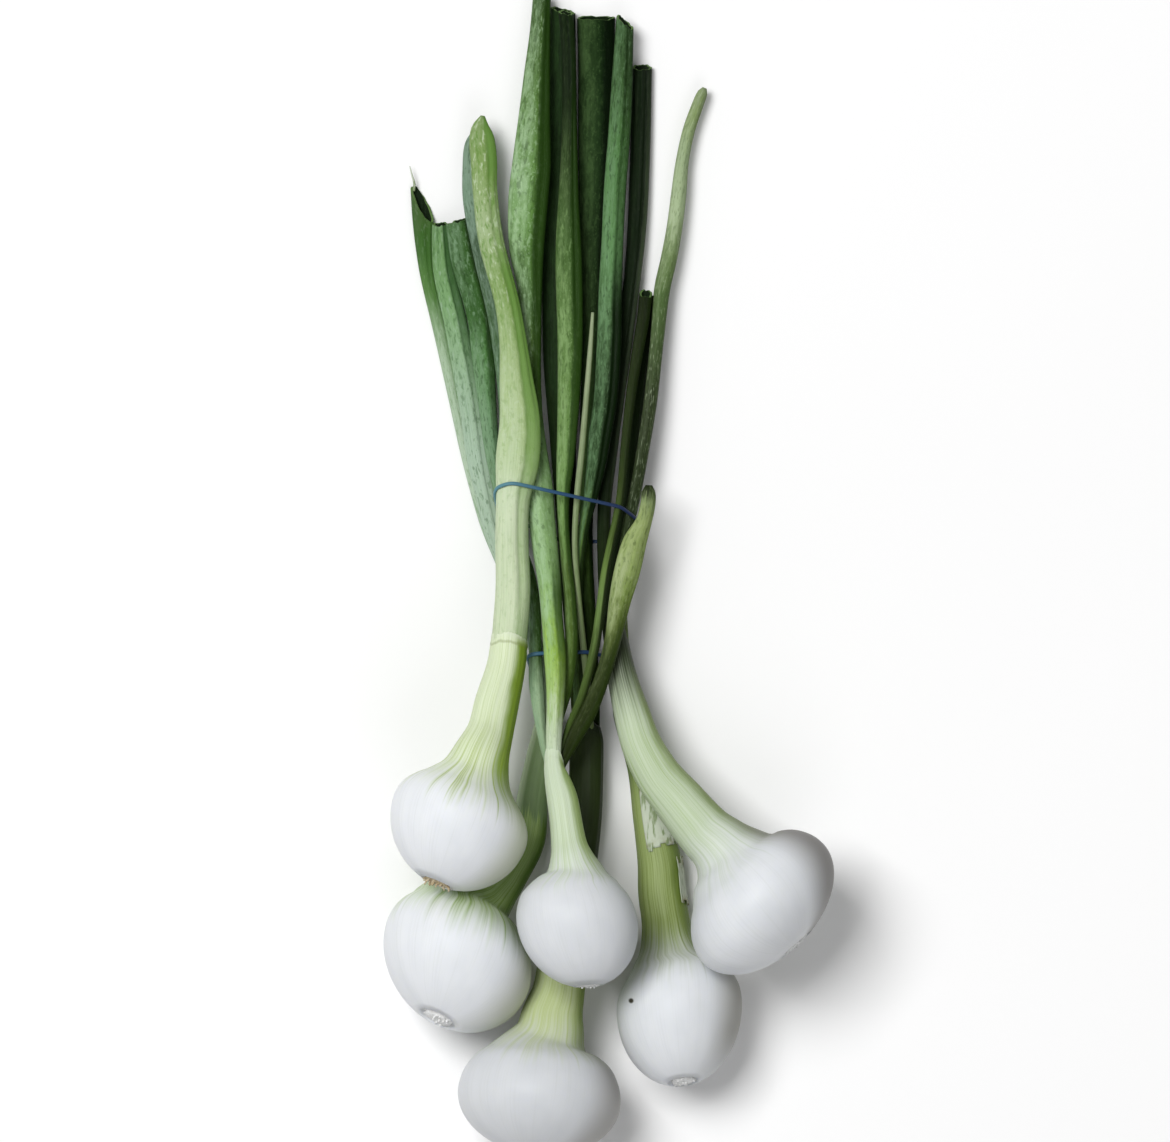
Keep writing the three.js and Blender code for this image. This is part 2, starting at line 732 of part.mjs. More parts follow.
// Where the skin of a grown leaf crosses a band's plane, as [x, z] points.
function crossings(leaf, planeY, grown) {
  const rings = leafRings(leaf, grown);
  const height = (p) => p.y - planeY(p.x, p.z);
  const found = [];
  for (let r = 0; r + 1 < rings.length; r++) {
    rings[r].forEach((p, i) => {
      const q = rings[r + 1][i];
      const [hp, hq] = [height(p), height(q)];
      if (hp * hq > 0) return;
      const t = hp / (hp - hq);
      found.push([p.x + (q.x - p.x) * t, p.z + (q.z - p.z) * t]);
    });
  }
  return found;
}

// The convex outline of points, anticlockwise.
function hull(points) {
  const sorted = [...points].sort((a, b) => a[0] - b[0] || a[1] - b[1]);
  const turn = (o, a, b) => (a[0] - o[0]) * (b[1] - o[1]) - (a[1] - o[1]) * (b[0] - o[0]);
  const half = (list) => {
    const chain = [];
    for (const p of list) {
      while (chain.length > 1 && turn(chain.at(-2), chain.at(-1), p) <= 0) chain.pop();
      chain.push(p);
    }
    return chain.slice(0, -1);
  };
  return [...half(sorted), ...half(sorted.reverse())];
}

// A band pulled tight round the leaves that it ties.
function bandSolid({ at, acrossSlope, heightSlope, ties }) {
  const planeY = (x, z) => at[1] + acrossSlope * (x - at[0]) + heightSlope * (z - at[2]);
  const grown = BAND_RADIUS + BAND_CLEARANCE;
  const outline = hull(ties.flatMap((name) => crossings(LEAVES[name], planeY, grown)));
  const kept = outline.filter((p, i) => {
    const before = outline[(i + outline.length - 1) % outline.length];
    return Math.hypot(p[0] - before[0], p[1] - before[1]) > BAND_STEP;
  });
  const places = kept.map(([x, z]) => new THREE.Vector3(x, planeY(x, z), z));
  const normal = new THREE.Vector3(-acrossSlope, 1, -heightSlope).normalize();
  const rings = places.map((place, i) => {
    const before = places[(i + places.length - 1) % places.length];
    const along = places[(i + 1) % places.length].clone().sub(before).normalize();
    const side = along.clone().cross(normal).normalize();
    return oval({ place, along, side, up: normal }, 2 * BAND_RADIUS, 2 * BAND_RADIUS, BAND_SIDES);
  });
  return toSolid(skin(rings, true));
}

function named(name, solid, colour, roughness) {
  const material = new THREE.MeshStandardMaterial({ color: colour, roughness, metalness: 0 });
  const mesh = new THREE.Mesh(toGeometry(solid), material);
  mesh.name = name;
  return mesh;
}

const bunch = new THREE.Group();

for (const [letter, onion] of Object.entries(ONIONS)) {
  let bulb = toSolid(skin(onionRings(onion)));
  const own = Object.entries(LEAVES).filter(([name]) => name.startsWith(letter));
  for (const [, leaf] of own) bulb = bulb.subtract(toSolid(skin(leafRings(leaf, GAP))));
  bunch.add(named(`onion_${letter}_bulb`, largest(bulb), COLOURS.bulb, 0.35));
  bunch.add(named(`onion_${letter}_roots`, rootsSolid(onion), COLOURS.roots, 0.9));
  for (const [name, leaf] of own) {
    const colour = PALE_LEAVES.includes(name) ? COLOURS.paleLeaf : COLOURS.leaf;
    const [, number] = name.split("_");
    bunch.add(named(`onion_${letter}_leaf_${number}`, toSolid(skin(leafRings(leaf))), colour, 0.45));
  }
}
for (const [name, band] of Object.entries(BANDS)) {
  bunch.add(named(name, bandSolid(band), COLOURS.band, 0.4));
}

export default bunch;
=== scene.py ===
"""A bunch of six spring onions, lying flat and tied with two thin rubber bands.

The bulbs point to -Y and the leaves to +Y. Tables are in millimetres, and the scene is in metres.
"""

import math

import bmesh
import bpy
import numpy as np
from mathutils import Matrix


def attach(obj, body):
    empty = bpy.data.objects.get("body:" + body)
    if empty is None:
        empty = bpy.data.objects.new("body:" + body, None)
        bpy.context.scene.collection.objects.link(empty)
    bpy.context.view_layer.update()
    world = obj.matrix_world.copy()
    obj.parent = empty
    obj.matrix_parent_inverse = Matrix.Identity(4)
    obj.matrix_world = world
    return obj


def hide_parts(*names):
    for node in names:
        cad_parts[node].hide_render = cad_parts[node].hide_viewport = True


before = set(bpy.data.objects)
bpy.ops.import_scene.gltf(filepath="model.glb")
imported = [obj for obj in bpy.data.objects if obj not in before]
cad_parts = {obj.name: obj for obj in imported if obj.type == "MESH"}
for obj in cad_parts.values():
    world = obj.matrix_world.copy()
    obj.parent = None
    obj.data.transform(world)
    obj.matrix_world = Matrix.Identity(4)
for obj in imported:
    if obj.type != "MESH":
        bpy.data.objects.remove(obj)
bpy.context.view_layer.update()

MM = 0.001
DECIMETRE = 100

BULB_SIDES = 96
BULB_SPACING = 1.1  # from one ring of a bulb or stem to the next
BULB_FIT = 0.988  # keeps the round bulbs inside the frame's faceted ones
BULB_ANGLES = [15, 26, 39, 54, 70, 86, 101, 114, 126]
BULB_LUMPS = ((1, 2, 3), 70)  # how many waves go round, and the length over which they drift
BULB_RIBS = ((11, 17, 23, 31), 90)
LUMP_DEPTH = 0.5
NECK_RIBS = 0.1  # how much deeper the ribs get towards the neck
STEM_RIBS = 0.16  # and how much deeper again on the stem
CREASE_AT = 6.0  # the ring crease below the collar of a stem
CREASE_TILT = 1.6
CREASE_WIDTH = 0.7
CREASE_DEPTH = 0.16
COLLAR_TEAR = 1.1  # how uneven the edge of a collar is
TEAR_WAVES = ((3, 5, 8, 12), 1)
EDGE_ROUNDING = 1.5
PLATE_DEPTH = 1.2
PLATE_INSET = 0.72
PLATE_SIDES = 28
PLATE_RINGS = ((0.25, 0.35), (0.6, 0.25), (0.94, -0.1), (1.0, -1.1))  # share of its radius, and height
DIMPLE_GAP = 0.3
MOUTH_DEPTH = 0.15

LEAF_SIDES = 48
LEAF_SPACING = 1.3
LEAF_LUMPS = ((2, 3), 60)
LEAF_RIBS = ((11, 14, 19), 160)
LUMP_SHARE = 0.035  # how deep these are, as shares of the leaf's size
RIB_SHARE = 0.03
DEEPEST_SHARE = 0.75
CUT_RAGGED = (0.05, 0.16)  # the least and the most that a cut edge strays
CUT_WAVES = (3, 5, 8, 13)
CUT_BACK = 0.8  # how far the middle of a cut lies short of the route's end
CUT_REACH = 1.7  # how far back a slanting cut stretches the leaf, for each millimetre of slant
LEAF_WALL = 0.8  # wall of a hollow leaf at its cut end
HOLLOW_DEPTH = 11.0
HOLLOW_LEAST = 3.6  # leaves thinner than this end solid
WISP_SIDES = 8
WISP_SPACING = 0.5

BAND_RADIUS = 0.72
BAND_FLATNESS = 0.72  # how far a band stands off the leaves, as a share of its width
BAND_GAP = 0.08
BAND_SIDES = 16
BAND_SPACING = 0.8

SCRAP_CLEARANCE = 0.12
SCRAP_LEAST = 0.08
SCRAP_THICKNESS = 0.12

STUB_DENSITY = 2.4e5  # to a square metre of root plate
STUB_RADIUS = 0.42
STUB_LEAN = 0.45
STUB_SIDES = 7
STUB_TAPER = 0.6  # the tip's radius, as a share of the foot's
STUB_SHORTEST = 0.35  # as a share of the longest

# Bulbs and stems. centre: the middle of the widest ring. radius: that ring's. root_reach and
# neck_reach: from there to the root end and to the neck. stubs: how long the root stubs are. ribs:
# how deep the bulb's ribs are. toward: the axis, to the neck. skew: how far a ring shifts sideways
# for each millimetre along. ring: how deep the crease below the collar is, how strongly shade is
# painted into it, and how dark the collar's edge is, from 0 to 1. shoulder: rows of [distance along,
# sideways, radius]. stem: rows of [x, y, z, width, thickness]. collar: the angle where its edge
# reaches highest, how far lower the other side is, the length that it narrows over, and the share of
# its width left at the edge.
ONIONS = {
    "a": dict(
        centre=(-51.7, -86.9, 47.2), radius=25.4, root_reach=24, neck_reach=17, stubs=2.0, ribs=0.03,
        toward=(0.39, 0.92, -0.16), skew=-0.05, ring=1.0,
        shoulder=[(13, -1.1, 16.9), (17.6, -1.5, 12.9), (24, -2.1, 10.5)],
        collar=(130, 3.5, 5, 0.94),
        stem=[
            (-41.2, -55.8, 38.6, 17, 16.6),
            (-38.9, -46, 34.4, 16.2, 15.8),
            (-35.5, -32, 29.6, 14.3, 13.8),
            (-34.2, -19.5, 27.6, 14, 13.4),
        ],
    ),
    "b": dict(
        centre=(-52.5, -134.2, 26.7), radius=28.3, root_reach=25, neck_reach=21.5, stubs=1.2, ribs=0.03,
        toward=(0.44, 0.87, -0.34), skew=-0.15, ring=0.2,
        shoulder=[(16.5, -4, 19.2), (20.5, -2.6, 14.4), (26, 0, 10.4)],
        collar=(70, 5, 9, 0.8),
        stem=[
            (-34.8, -105.6, 14.6, 14.6, 14.6),
            (-28.2, -94, 10.6, 13, 13),
            (-26.4, -80, 9.2, 12, 12),
            (-23.8, -66, 8.6, 11, 11),
            (-21, -54, 8.6, 10.8, 10.8),
            (-20.4, -46, 8.6, 10.8, 10.8),
        ],
    ),
    "c": dict(
        centre=(-10.9, -122, 50.4), radius=21.6, root_reach=23.3, neck_reach=20.5, stubs=0.8, ribs=0.02,
        toward=(-0.08, 0.99, -0.1), skew=-0.1, ring=0.1,
        shoulder=[(15, 0, 14.3), (17.4, 0.5, 11.2), (21.4, 0, 8.6)],
        collar=(105, 12, 24, 0.58),
        stem=[
            (-13.7, -95, 46.2, 13.4, 13.2),
            (-15.8, -80.5, 41.2, 11.8, 11.6),
            (-18.6, -68, 36.2, 12.6, 12.4),
            (-19.2, -59.5, 33.8, 12.8, 12.4),
        ],
    ),
    "d": dict(
        centre=(-24, -184, 27.9), radius=29.2, root_reach=20, neck_reach=23, stubs=1.4, ribs=0.06,
        toward=(0.12, 0.98, -0.14), skew=0, ring=0.0,
        shoulder=[(16.8, -0.5, 18.8), (19.4, 0.1, 15), (23, 0.9, 12.6)],
        collar=(90, 3, 8, 0.85),
        stem=[
            (-19.4, -155.3, 22.4, 22.4, 22.4),
            (-17.3, -147, 19, 19.2, 19.2),
            (-15.8, -137, 15.8, 18.2, 18.2),
            (-13, -121, 12.2, 16, 16),
            (-10.5, -104, 10, 14, 14),
            (-8.2, -86, 9, 13, 13),
            (-7.6, -68, 9.2, 12.8, 12.8),
            (-7.8, -52, 10, 13, 13),
        ],
    ),
    "e": dict(
        centre=(25, -152.2, 21.6), radius=22.6, root_reach=28.5, neck_reach=19.6, stubs=0.8, ribs=0.04,
        toward=(-0.12, 0.98, -0.34), skew=0.07, ring=0.3,
        shoulder=[(15.4, -0.9, 14.4), (19.8, -1.1, 11.5), (25, -1.2, 9.8)],
        collar=(90, 3, 8, 0.85),
        stem=[
            (20.2, -122.4, 11.2, 17.8, 17.8),
            (18.8, -112.5, 9.4, 17.4, 17.4),
            (18, -102, 8.6, 16.4, 16.4),
            (15, -86, 8.4, 13.6, 13.6),
            (12.4, -69, 8, 12, 12),
            (7.6, -53, 7.8, 11, 10.6),
            (5, -42, 7.8, 10.4, 9.8),
        ],
    ),
    "f": dict(
        centre=(54.2, -115.6, 45.2), radius=30.1, root_reach=19, neck_reach=21, stubs=0.7, ribs=0.09,
        toward=(-0.67, 0.74, -0.08), skew=0.08, ring=0.2,
        shoulder=[(15.6, 1.1, 19.9), (19.4, 2.1, 15.3), (25, 2.3, 11.8)],
        collar=(90, 4, 9, 0.84),
        stem=[
            (34, -90.8, 40.6, 20.8, 20.8),
            (24.8, -80, 35.6, 18.8, 18.8),
            (17.5, -71, 31.2, 17, 17),
            (11.6, -60, 27.6, 15, 15),
            (7.9, -48, 24.8, 13.2, 13.2),
            (4.8, -36, 22.2, 11.2, 11.4),
            (2.8, -24, 20.6, 9.6, 10.4),
            (1.8, -13.5, 19.3, 8.8, 10),
        ],
    ),
}

# Leaves. route: rows of [x, y, z, width, thickness] from foot to end. tip closes a leaf. slant: how
# far a cut slants from its left edge to its right, and from its top to its underside. folds: grooves
# as [angle, width in degrees, depth as a share of the leaf's, shares of the length from and to].
LEAVES = {
    "a_1": dict(
        tip=True,
        folds=[(62, 12, 0.16, 0.12, 0.95), (128, 10, 0.09, 0.3, 0.9), (28, 9, 0.08, 0.45, 0.9)],
        route=[
            (-35.2, -31, 29.6, 12.4, 11), (-34.2, -20, 28.4, 12.8, 11.4), (-33.2, -5, 27.4, 12.6, 10),
            (-33.6, 11, 26.6, 12, 9.4), (-33.3, 25, 26.2, 12.2, 9), (-31.6, 39, 26.2, 15.8, 7.6),
            (-30.8, 53, 25, 14.6, 6.4), (-32, 67, 23.4, 12.3, 6), (-33.3, 81, 21.6, 10, 5.6),
            (-35.5, 95, 19.6, 9, 5.4), (-40.9, 116, 17, 9.2, 5.4), (-43.1, 134, 14.8, 9, 5.2),
            (-43.5, 144, 13.8, 9.6, 4.8), (-44.2, 151.5, 13.2, 9.2, 4.2), (-44.6, 155.8, 12.8, 6.8, 3),
            (-43.9, 160, 12.4, 1.6, 1.4),
        ],
    ),
    "a_2": dict(
        tip=True,
        folds=[(95, 14, 0.14, 0.3, 0.9)],
        route=[
            (-35.4, -31, 24.9, 6, 2.4), (-34.2, -19.5, 23, 6.4, 2.4), (-33.6, -5, 20.6, 7, 2.8),
            (-33.8, 11, 19.2, 7.4, 3), (-34.4, 25, 18.8, 7.4, 3.2), (-35, 40, 18.6, 7, 3.2),
            (-35, 55, 17.4, 6.4, 3.2), (-36.2, 72, 15.8, 7, 3.4), (-38.8, 91, 13.8, 7.6, 3.4),
            (-43.2, 112, 11.4, 8.6, 3.4), (-46.4, 130, 9.8, 9.2, 3.4), (-47, 143, 8.8, 8.4, 3.2),
            (-47, 150.5, 8, 6.6, 2.6), (-46.6, 155, 7.6, 1.8, 1.4),
        ],
    ),
    "b_1": dict(
        slant=(-11, 7),
        folds=[(70, 12, 0.12, 0.2, 0.95)],
        route=[
            (-21, -56, 6.4, 5, 2.8), (-21.6, -44, 6.3, 4.8, 2.8), (-24.8, -30, 6, 4.6, 2.8),
            (-30.8, -12, 5.6, 4.6, 2.8), (-37.5, 4, 5, 4.6, 2.8), (-42.4, 16, 4.4, 4.6, 2.8),
            (-46, 28, 4, 4.6, 2.8), (-49.6, 42, 3.6, 4.6, 2.8), (-54, 62, 3, 4.6, 2.8),
            (-59, 85, 2.4, 5, 3), (-63.4, 104, 1.8, 5.2, 3.2), (-64.6, 115, 1.8, 6.4, 3.6),
            (-65, 123, 1.9, 7.6, 3.8), (-65.3, 130, 2, 8, 4),
        ],
    ),
    "b_2": dict(
        slant=(0, 1.5),
        folds=[(62, 11, 0.24, 0.35, 1.1), (112, 11, 0.24, 0.35, 1.1), (150, 9, 0.1, 0.5, 1.1)],
        route=[
            (-20.9, -56, 10.4, 6, 3), (-21.2, -44, 10.3, 6, 3.2), (-24.2, -30, 10, 5.8, 3.4),
            (-30.2, -12, 9.6, 6, 3.4), (-36.6, 4, 9.2, 6.2, 3.4), (-40.4, 15, 8.8, 6.6, 3.4),
            (-43, 27, 8.6, 7.2, 3.6), (-45.4, 39, 8.2, 8.2, 3.8), (-48.4, 60, 7.8, 8.4, 4),
            (-53.6, 88, 6, 8.4, 4), (-57.4, 105, 5, 8, 4), (-58.4, 115, 4.4, 7.2, 3.8),
            (-58.8, 122.8, 4, 6.2, 3.8),
        ],
    ),
    "c_1": dict(
        slant=(0, 1.5),
        folds=[(74, 13, 0.15, 0.1, 0.62), (104, 11, 0.1, 0.55, 1), (48, 9, 0.1, 0.6, 1.1)],
        route=[
            (-19, -67, 36.6, 4.8, 3), (-18.9, -58, 35.6, 5.8, 3.8), (-18.4, -47, 33.4, 6.4, 4.4),
            (-18.2, -38, 31.4, 7.3, 4.8), (-18.5, -29, 29.6, 8.1, 5), (-19.5, -17, 27.4, 7.8, 5),
            (-20.4, -4, 25.2, 8.4, 5.4), (-21.9, 8, 23.4, 9.2, 5.4), (-23.3, 20, 21.8, 9.6, 5.4),
            (-24, 30, 20.4, 9.6, 5.2),
            (-25.6, 42, 18.4, 9, 5), (-26.9, 55, 16.6, 8.4, 4.8), (-27.3, 70, 14.8, 8, 4.6),
            (-27.2, 85, 13.4, 8, 4.6), (-27.5, 100, 12.4, 9.2, 5), (-28.6, 114, 11.8, 12.8, 5.8),
            (-28, 130, 11.2, 14.4, 6.2), (-26.8, 143, 10.6, 14, 6.2), (-25.9, 158, 9.8, 11.7, 5.8),
            (-24.9, 174, 8.8, 9.6, 5.4), (-23.8, 189, 7.8, 7.6, 5), (-23.1, 203, 7.2, 6.4, 4.6),
        ],
    ),
    "c_2": dict(
        slant=(1, 1),
        folds=[(96, 15, 0.16, 0.5, 1.1)],
        route=[
            (-20.6, -69, 34.6, 2.2, 2.2), (-23, -57, 31, 3.6, 3.2), (-25, -40, 24.8, 5.4, 3.6),
            (-25.4, -29, 20.8, 4.8, 3.6), (-25.8, -12, 15.8, 4.4, 3.6), (-28, 0, 13.4, 4.6, 3.6),
            (-32.4, 12, 11.8, 4.8, 3.4), (-37.6, 28, 12, 5, 3.6), (-40.6, 43, 12.2, 5.6, 3.8),
            (-42.4, 60, 11.8, 6.8, 4), (-43.6, 75, 10.8, 8.6, 4.2), (-44.4, 88, 9.6, 10, 4.4),
            (-46.2, 97, 8.8, 10.6, 4.6), (-49.7, 109, 7.6, 10.8, 4.6), (-52.5, 124, 6.4, 9.8, 4.6),
        ],
    ),
    "c_3": dict(
        slant=(-1, 1.5),
        folds=[(56, 11, 0.18, 0.6, 0.86), (118, 9, 0.09, 0.4, 1.1)],
        route=[
            (-19.6, -69, 32.6, 2.4, 2.2), (-18, -54, 29, 3.6, 3), (-14.4, -40, 27, 4.4, 3.6),
            (-12.8, -26, 25.4, 4.8, 4), (-13.2, -10, 23, 4.4, 4), (-14.6, 4, 21.2, 4.2, 4),
            (-15.6, 18, 19.6, 4, 4), (-15.6, 29, 18.6, 5, 4.2), (-14.9, 39, 17.6, 6.4, 4.6),
            (-13.8, 60, 15.6, 8, 5), (-13.3, 81, 13.8, 9.2, 5.4), (-13.7, 105, 12.2, 9.8, 5.6),
            (-13.9, 119, 11.6, 9, 5.4), (-13.8, 132, 11, 7.4, 5), (-13.5, 154, 10, 5.6, 4.6),
            (-13.6, 179, 9, 5, 4.4), (-14.8, 197, 8.6, 5.4, 4.4),
        ],
    ),
    "c_4": dict(
        tip=True,
        folds=[(80, 16, 0.18, 0.5, 1), (130, 12, 0.12, 0.6, 1), (35, 10, 0.1, 0.55, 0.95)],
        route=[
            (-16.8, -69, 34.8, 2.4, 2.6), (-11.4, -57, 33, 5.6, 3.8), (-7.4, -50, 32.4, 6.2, 4.2),
            (-2.4, -38, 31.6, 5.6, 4.4), (1.6, -24, 30.4, 6, 4.4), (4.2, -10, 29, 8, 4.6),
            (6.6, 0, 27.6, 9.4, 4.8), (9.2, 10, 26.4, 8.8, 4.6), (12.6, 18, 25.6, 5.9, 4),
            (14, 24, 25, 5.5, 3.8), (14.2, 28, 24.9, 5, 3.4), (14.3, 30.4, 24.8, 2.4, 1.8),
        ],
    ),
    "c_5": dict(
        slant=(0, 3),
        route=[
            (-17.6, -69, 33, 2.2, 2.2), (-13.4, -54, 30, 3, 2.6), (-9.3, -44, 29.2, 3.2, 2.8),
            (-6.4, -34, 28.4, 3.4, 2.8), (-4.2, -24, 27.4, 3.4, 3), (-2.6, -12, 26, 3.2, 3),
            (-1.2, -1, 24.2, 3, 3), (0.8, 9, 22.6, 3, 2.8), (2.8, 18, 21.2, 3, 2.8),
            (4.3, 26, 20.2, 3, 2.8), (5.8, 42, 18, 3.2, 2.8), (7.8, 60, 15.6, 3.6, 3),
            (10.2, 76, 13.2, 4.2, 3.2), (12.4, 89, 11.4, 4.6, 3.4), (13.4, 98.4, 10.4, 4.8, 3.8),
        ],
    ),
    "d_1": dict(
        slant=(0, 1.5),
        folds=[(84, 13, 0.1, 0.4, 1)],
        route=[
            (-4.8, -62, 7.2, 3.8, 3.8), (-5, -46, 8, 4.4, 4.4), (-5.8, -30, 8.8, 4.8, 4.6),
            (-6.8, -10, 9.8, 4.8, 4.6), (-7.6, 10, 10.2, 4.8, 4.6), (-7.4, 28, 9.8, 5.4, 4.6),
            (-6.4, 50, 8, 7, 4.4), (-5.4, 75, 6, 8.2, 4.2), (-5.2, 100, 4.2, 10, 4),
            (-4.9, 124, 2.8, 10.9, 4), (-4.3, 150, 2.1, 12.6, 4), (-4, 175, 1.9, 13.2, 4),
            (-4.25, 195.4, 1.9, 13.8, 4),
        ],
    ),
    "d_2": dict(
        slant=(-2, 1.5),
        folds=[(70, 12, 0.12, 0.5, 1), (115, 10, 0.08, 0.5, 1)],
        route=[
            (-10.6, -62, 7.2, 3.8, 3.8), (-10.9, -46, 8, 4.4, 4.4), (-12, -28, 8.2, 5.4, 4.6),
            (-13.4, -5, 8.8, 6.4, 4.6), (-14.8, 20, 9.2, 7.2, 4.8), (-15.7, 45, 7.6, 9.4, 4.8),
            (-16.9, 75, 5.4, 12, 4.6), (-17, 105, 3.6, 12.4, 4.4), (-16.6, 135, 2.4, 11.4, 4.4),
            (-16, 165, 2.1, 10.2, 4.4), (-15.8, 198, 2.1, 9, 4.4),
        ],
    ),
    "d_3": dict(
        tip=True,
        route=[
            (-5.6, -62, 12, 2.4, 2.2), (-6.6, -47, 15.6, 2.4, 2.2), (-8.4, -28, 19, 2.4, 2.2),
            (-10.4, -8, 20.6, 2.2, 2.2), (-11.6, 10, 20.6, 2.2, 2.2), (-10.8, 26, 20, 2.4, 2.2),
            (-9.2, 42, 18.6, 2.4, 2.2), (-7.8, 58, 16.8, 2.2, 2), (-6.3, 76, 14.8, 2, 1.8),
            (-5.3, 91, 13.4, 1.2, 1.2),
        ],
    ),
    "d_4": dict(
        slant=(-4, 2),
        folds=[(58, 12, 0.18, 0.35, 1), (100, 9, 0.07, 0.4, 0.95)],
        route=[
            (-9.6, -62, 12, 3.6, 3), (-10.2, -47, 13.2, 3.8, 3.4), (-10.6, -28, 15.2, 4, 3.8),
            (-10.8, -10, 16.4, 3.8, 3.8), (-10, 4, 16.6, 3.8, 3.8), (-8.6, 15, 16.6, 4, 4),
            (-6.2, 26, 16.4, 5.2, 4.2), (-4.2, 37, 16.2, 7, 4.6), (-2.9, 47, 15.8, 8.2, 5),
            (-0.8, 61, 15, 8.6, 5.2), (0.4, 81, 13.8, 9, 5.4), (0.8, 98, 12.8, 8.6, 5.2),
            (1.6, 116, 11.8, 8, 5), (2.5, 135, 11, 8.1, 5), (4, 154, 10.2, 8, 5),
            (4.9, 170, 9.8, 7.7, 4.8), (6, 193.6, 9.4, 6.4, 4.4),
        ],
    ),
    "e_1": dict(
        slant=(0, 2),
        folds=[(64, 12, 0.12, 0.4, 1.1)],
        route=[
            (6.6, -52, 7.8, 6, 5.4), (4.6, -41, 7.8, 6, 5.4), (2, -28, 8.2, 6, 5.4),
            (-0.4, -10, 9.4, 5.4, 5), (-1.4, 8, 10, 5, 4.8), (-1.1, 25, 10, 5, 4.8),
            (0.5, 40, 9.2, 5.4, 4.8), (2.8, 60, 7.8, 6, 4.8), (5.6, 81, 6.4, 6.4, 4.8),
            (8.4, 102, 5, 6.2, 4.8), (9.8, 116, 4.2, 6.8, 4.8), (10.8, 132, 3.6, 7.3, 4.8),
            (11.5, 154, 3, 7.4, 4.8), (12, 178, 2.7, 7.2, 4.6),
        ],
    ),
    "f_1": dict(
        tip=True,
        folds=[(120, 10, 0.1, 0.3, 0.95)],
        route=[
            (5.4, -26, 21, 4.2, 5.6), (4.6, -13, 19.6, 4.4, 4.8), (5.4, 1, 18, 4.4, 4.4),
            (7.1, 16, 16.4, 4.5, 4.2), (9.2, 26, 15.2, 4.5, 4.2), (11.8, 40, 13.6, 4.6, 4),
            (14.9, 60, 11.6, 5, 4), (17.2, 81, 9.8, 5, 4), (19, 99, 8.4, 5.9, 4),
            (21.4, 110, 7.6, 6, 4), (23.4, 121, 7, 5.8, 4), (24.9, 133, 6.4, 5.6, 3.8),
            (26.1, 144, 6, 4.8, 3.6), (28.4, 155, 5.7, 4.5, 3.2), (31.7, 164.5, 5.4, 4.2, 2.8),
            (33.3, 168.4, 5.3, 3.6, 2.2), (34, 170, 5.3, 1.6, 1.2),
        ],
    ),
    "f_2": dict(
        slant=(0, 3),
        route=[
            (0.6, -26, 19, 3.6, 4.4), (0.2, -13, 17, 4.2, 4), (1.8, 1, 13.4, 4.8, 4),
            (4.8, 14, 11.2, 5.2, 4), (7.6, 28, 9.8, 5.6, 4), (9.4, 42, 8.8, 5.8, 4),
            (11.2, 60, 7.2, 6, 4), (13.2, 78, 5.8, 5.8, 4), (15.6, 96.6, 4.6, 5.4, 4),
        ],
    ),
}

WISP_ROUTE = [
    (-68.2, 133.8, 2.6, 0.9, 0.4), (-68, 136.4, 3.2, 0.8, 0.35), (-68.8, 139.4, 3.6, 0.6, 0.3),
    (-69.6, 142.6, 3.8, 0.3, 0.2),
]

# Dry scraps of skin on the stems. reach: from where to where, in millimetres past the bulb's widest
# ring. around: the first angle and the last, from the right side over the top. lift: how far the
# edge stands off, tear: how deep its ends are torn, as a share of its length.
SCRAPS = {
    "sheath_e": dict(onion="e", reach=(55, 82), around=(4, 116), lift=0.35, tear=0.22, seed=4),
    "strip_e": dict(onion="e", reach=(34, 58), around=(-14, 44), lift=1.1, tear=0.3, seed=11),
}

# Bands: a plane through a point, with its slope across the bunch and with height, and what it ties.
BANDS = {
    "band_upper": dict(
        at=(-31, 31, 31), across=-0.04, rise=0.8,
        ties=("a_1", "a_2", "c_1", "c_3", "c_5", "d_1", "d_2", "d_3", "d_4", "e_1", "f_1", "f_2"),
    ),
    "band_lower": dict(
        at=(-25.5, -29, 22.5), across=0.1, rise=0.4,
        ties=("b_1", "b_2", "c_2", "d_1", "d_2", "d_3", "d_4", "e_1"),
    ),
}


# ---------------------------------------------------------------- strands

def smoothstep(low, high, value):
    """0 below low, 1 above high, and a smooth rise between them."""
    t = np.clip((value - low) / (high - low), 0, 1)
    return t * t * (3 - 2 * t)


def distances(places):
    """How far along the route each place is."""
    steps = np.linalg.norm(np.diff(places, axis=0), axis=1)
    return np.concatenate([[0], np.cumsum(steps)])


def smooth_route(rows, spacing):
    """A smooth route through rows, with a station about every spacing. The last column of the
    result counts the rows that the route has passed."""
    rows = np.array(rows, float)
    knots = distances(rows[:, :3])
    last = len(rows) - 1
    before = np.maximum(np.arange(last + 1) - 1, 0)
    after = np.minimum(np.arange(last + 1) + 1, last)
    slopes = (rows[after] - rows[before]) / (knots[after] - knots[before])[:, None]
    out = [np.append(rows[0], 0.0)]
    for i in range(last):
        span = knots[i + 1] - knots[i]
        count = max(1, round(span / spacing))
        for j in range(1, count + 1):
            t = j / count
            t2, t3 = t * t, t * t * t
            row = (
                (2 * t3 - 3 * t2 + 1) * rows[i]
                + (t3 - 2 * t2 + t) * span * slopes[i]
                + (3 * t2 - 2 * t3) * rows[i + 1]
                + (t3 - t2) * span * slopes[i + 1]
            )
            out.append(np.append(row, i + t))
    return np.array(out)


def unit(vectors):
    return vectors / np.linalg.norm(vectors, axis=-1, keepdims=True)


def frames_at(toward):
    """For each direction: the direction itself, its level side and its upward side."""
    along = unit(toward)
    side = unit(np.cross(along, [0.0, 0.0, 1.0]))
    return along, side, np.cross(side, along)


def route_directions(places):
    padded = np.concatenate([places[:1], places, places[-1:]])
    return unit(padded[2:] - padded[:-2])


def ring_angles(sides):
    return np.arange(sides) * 2 * math.pi / sides


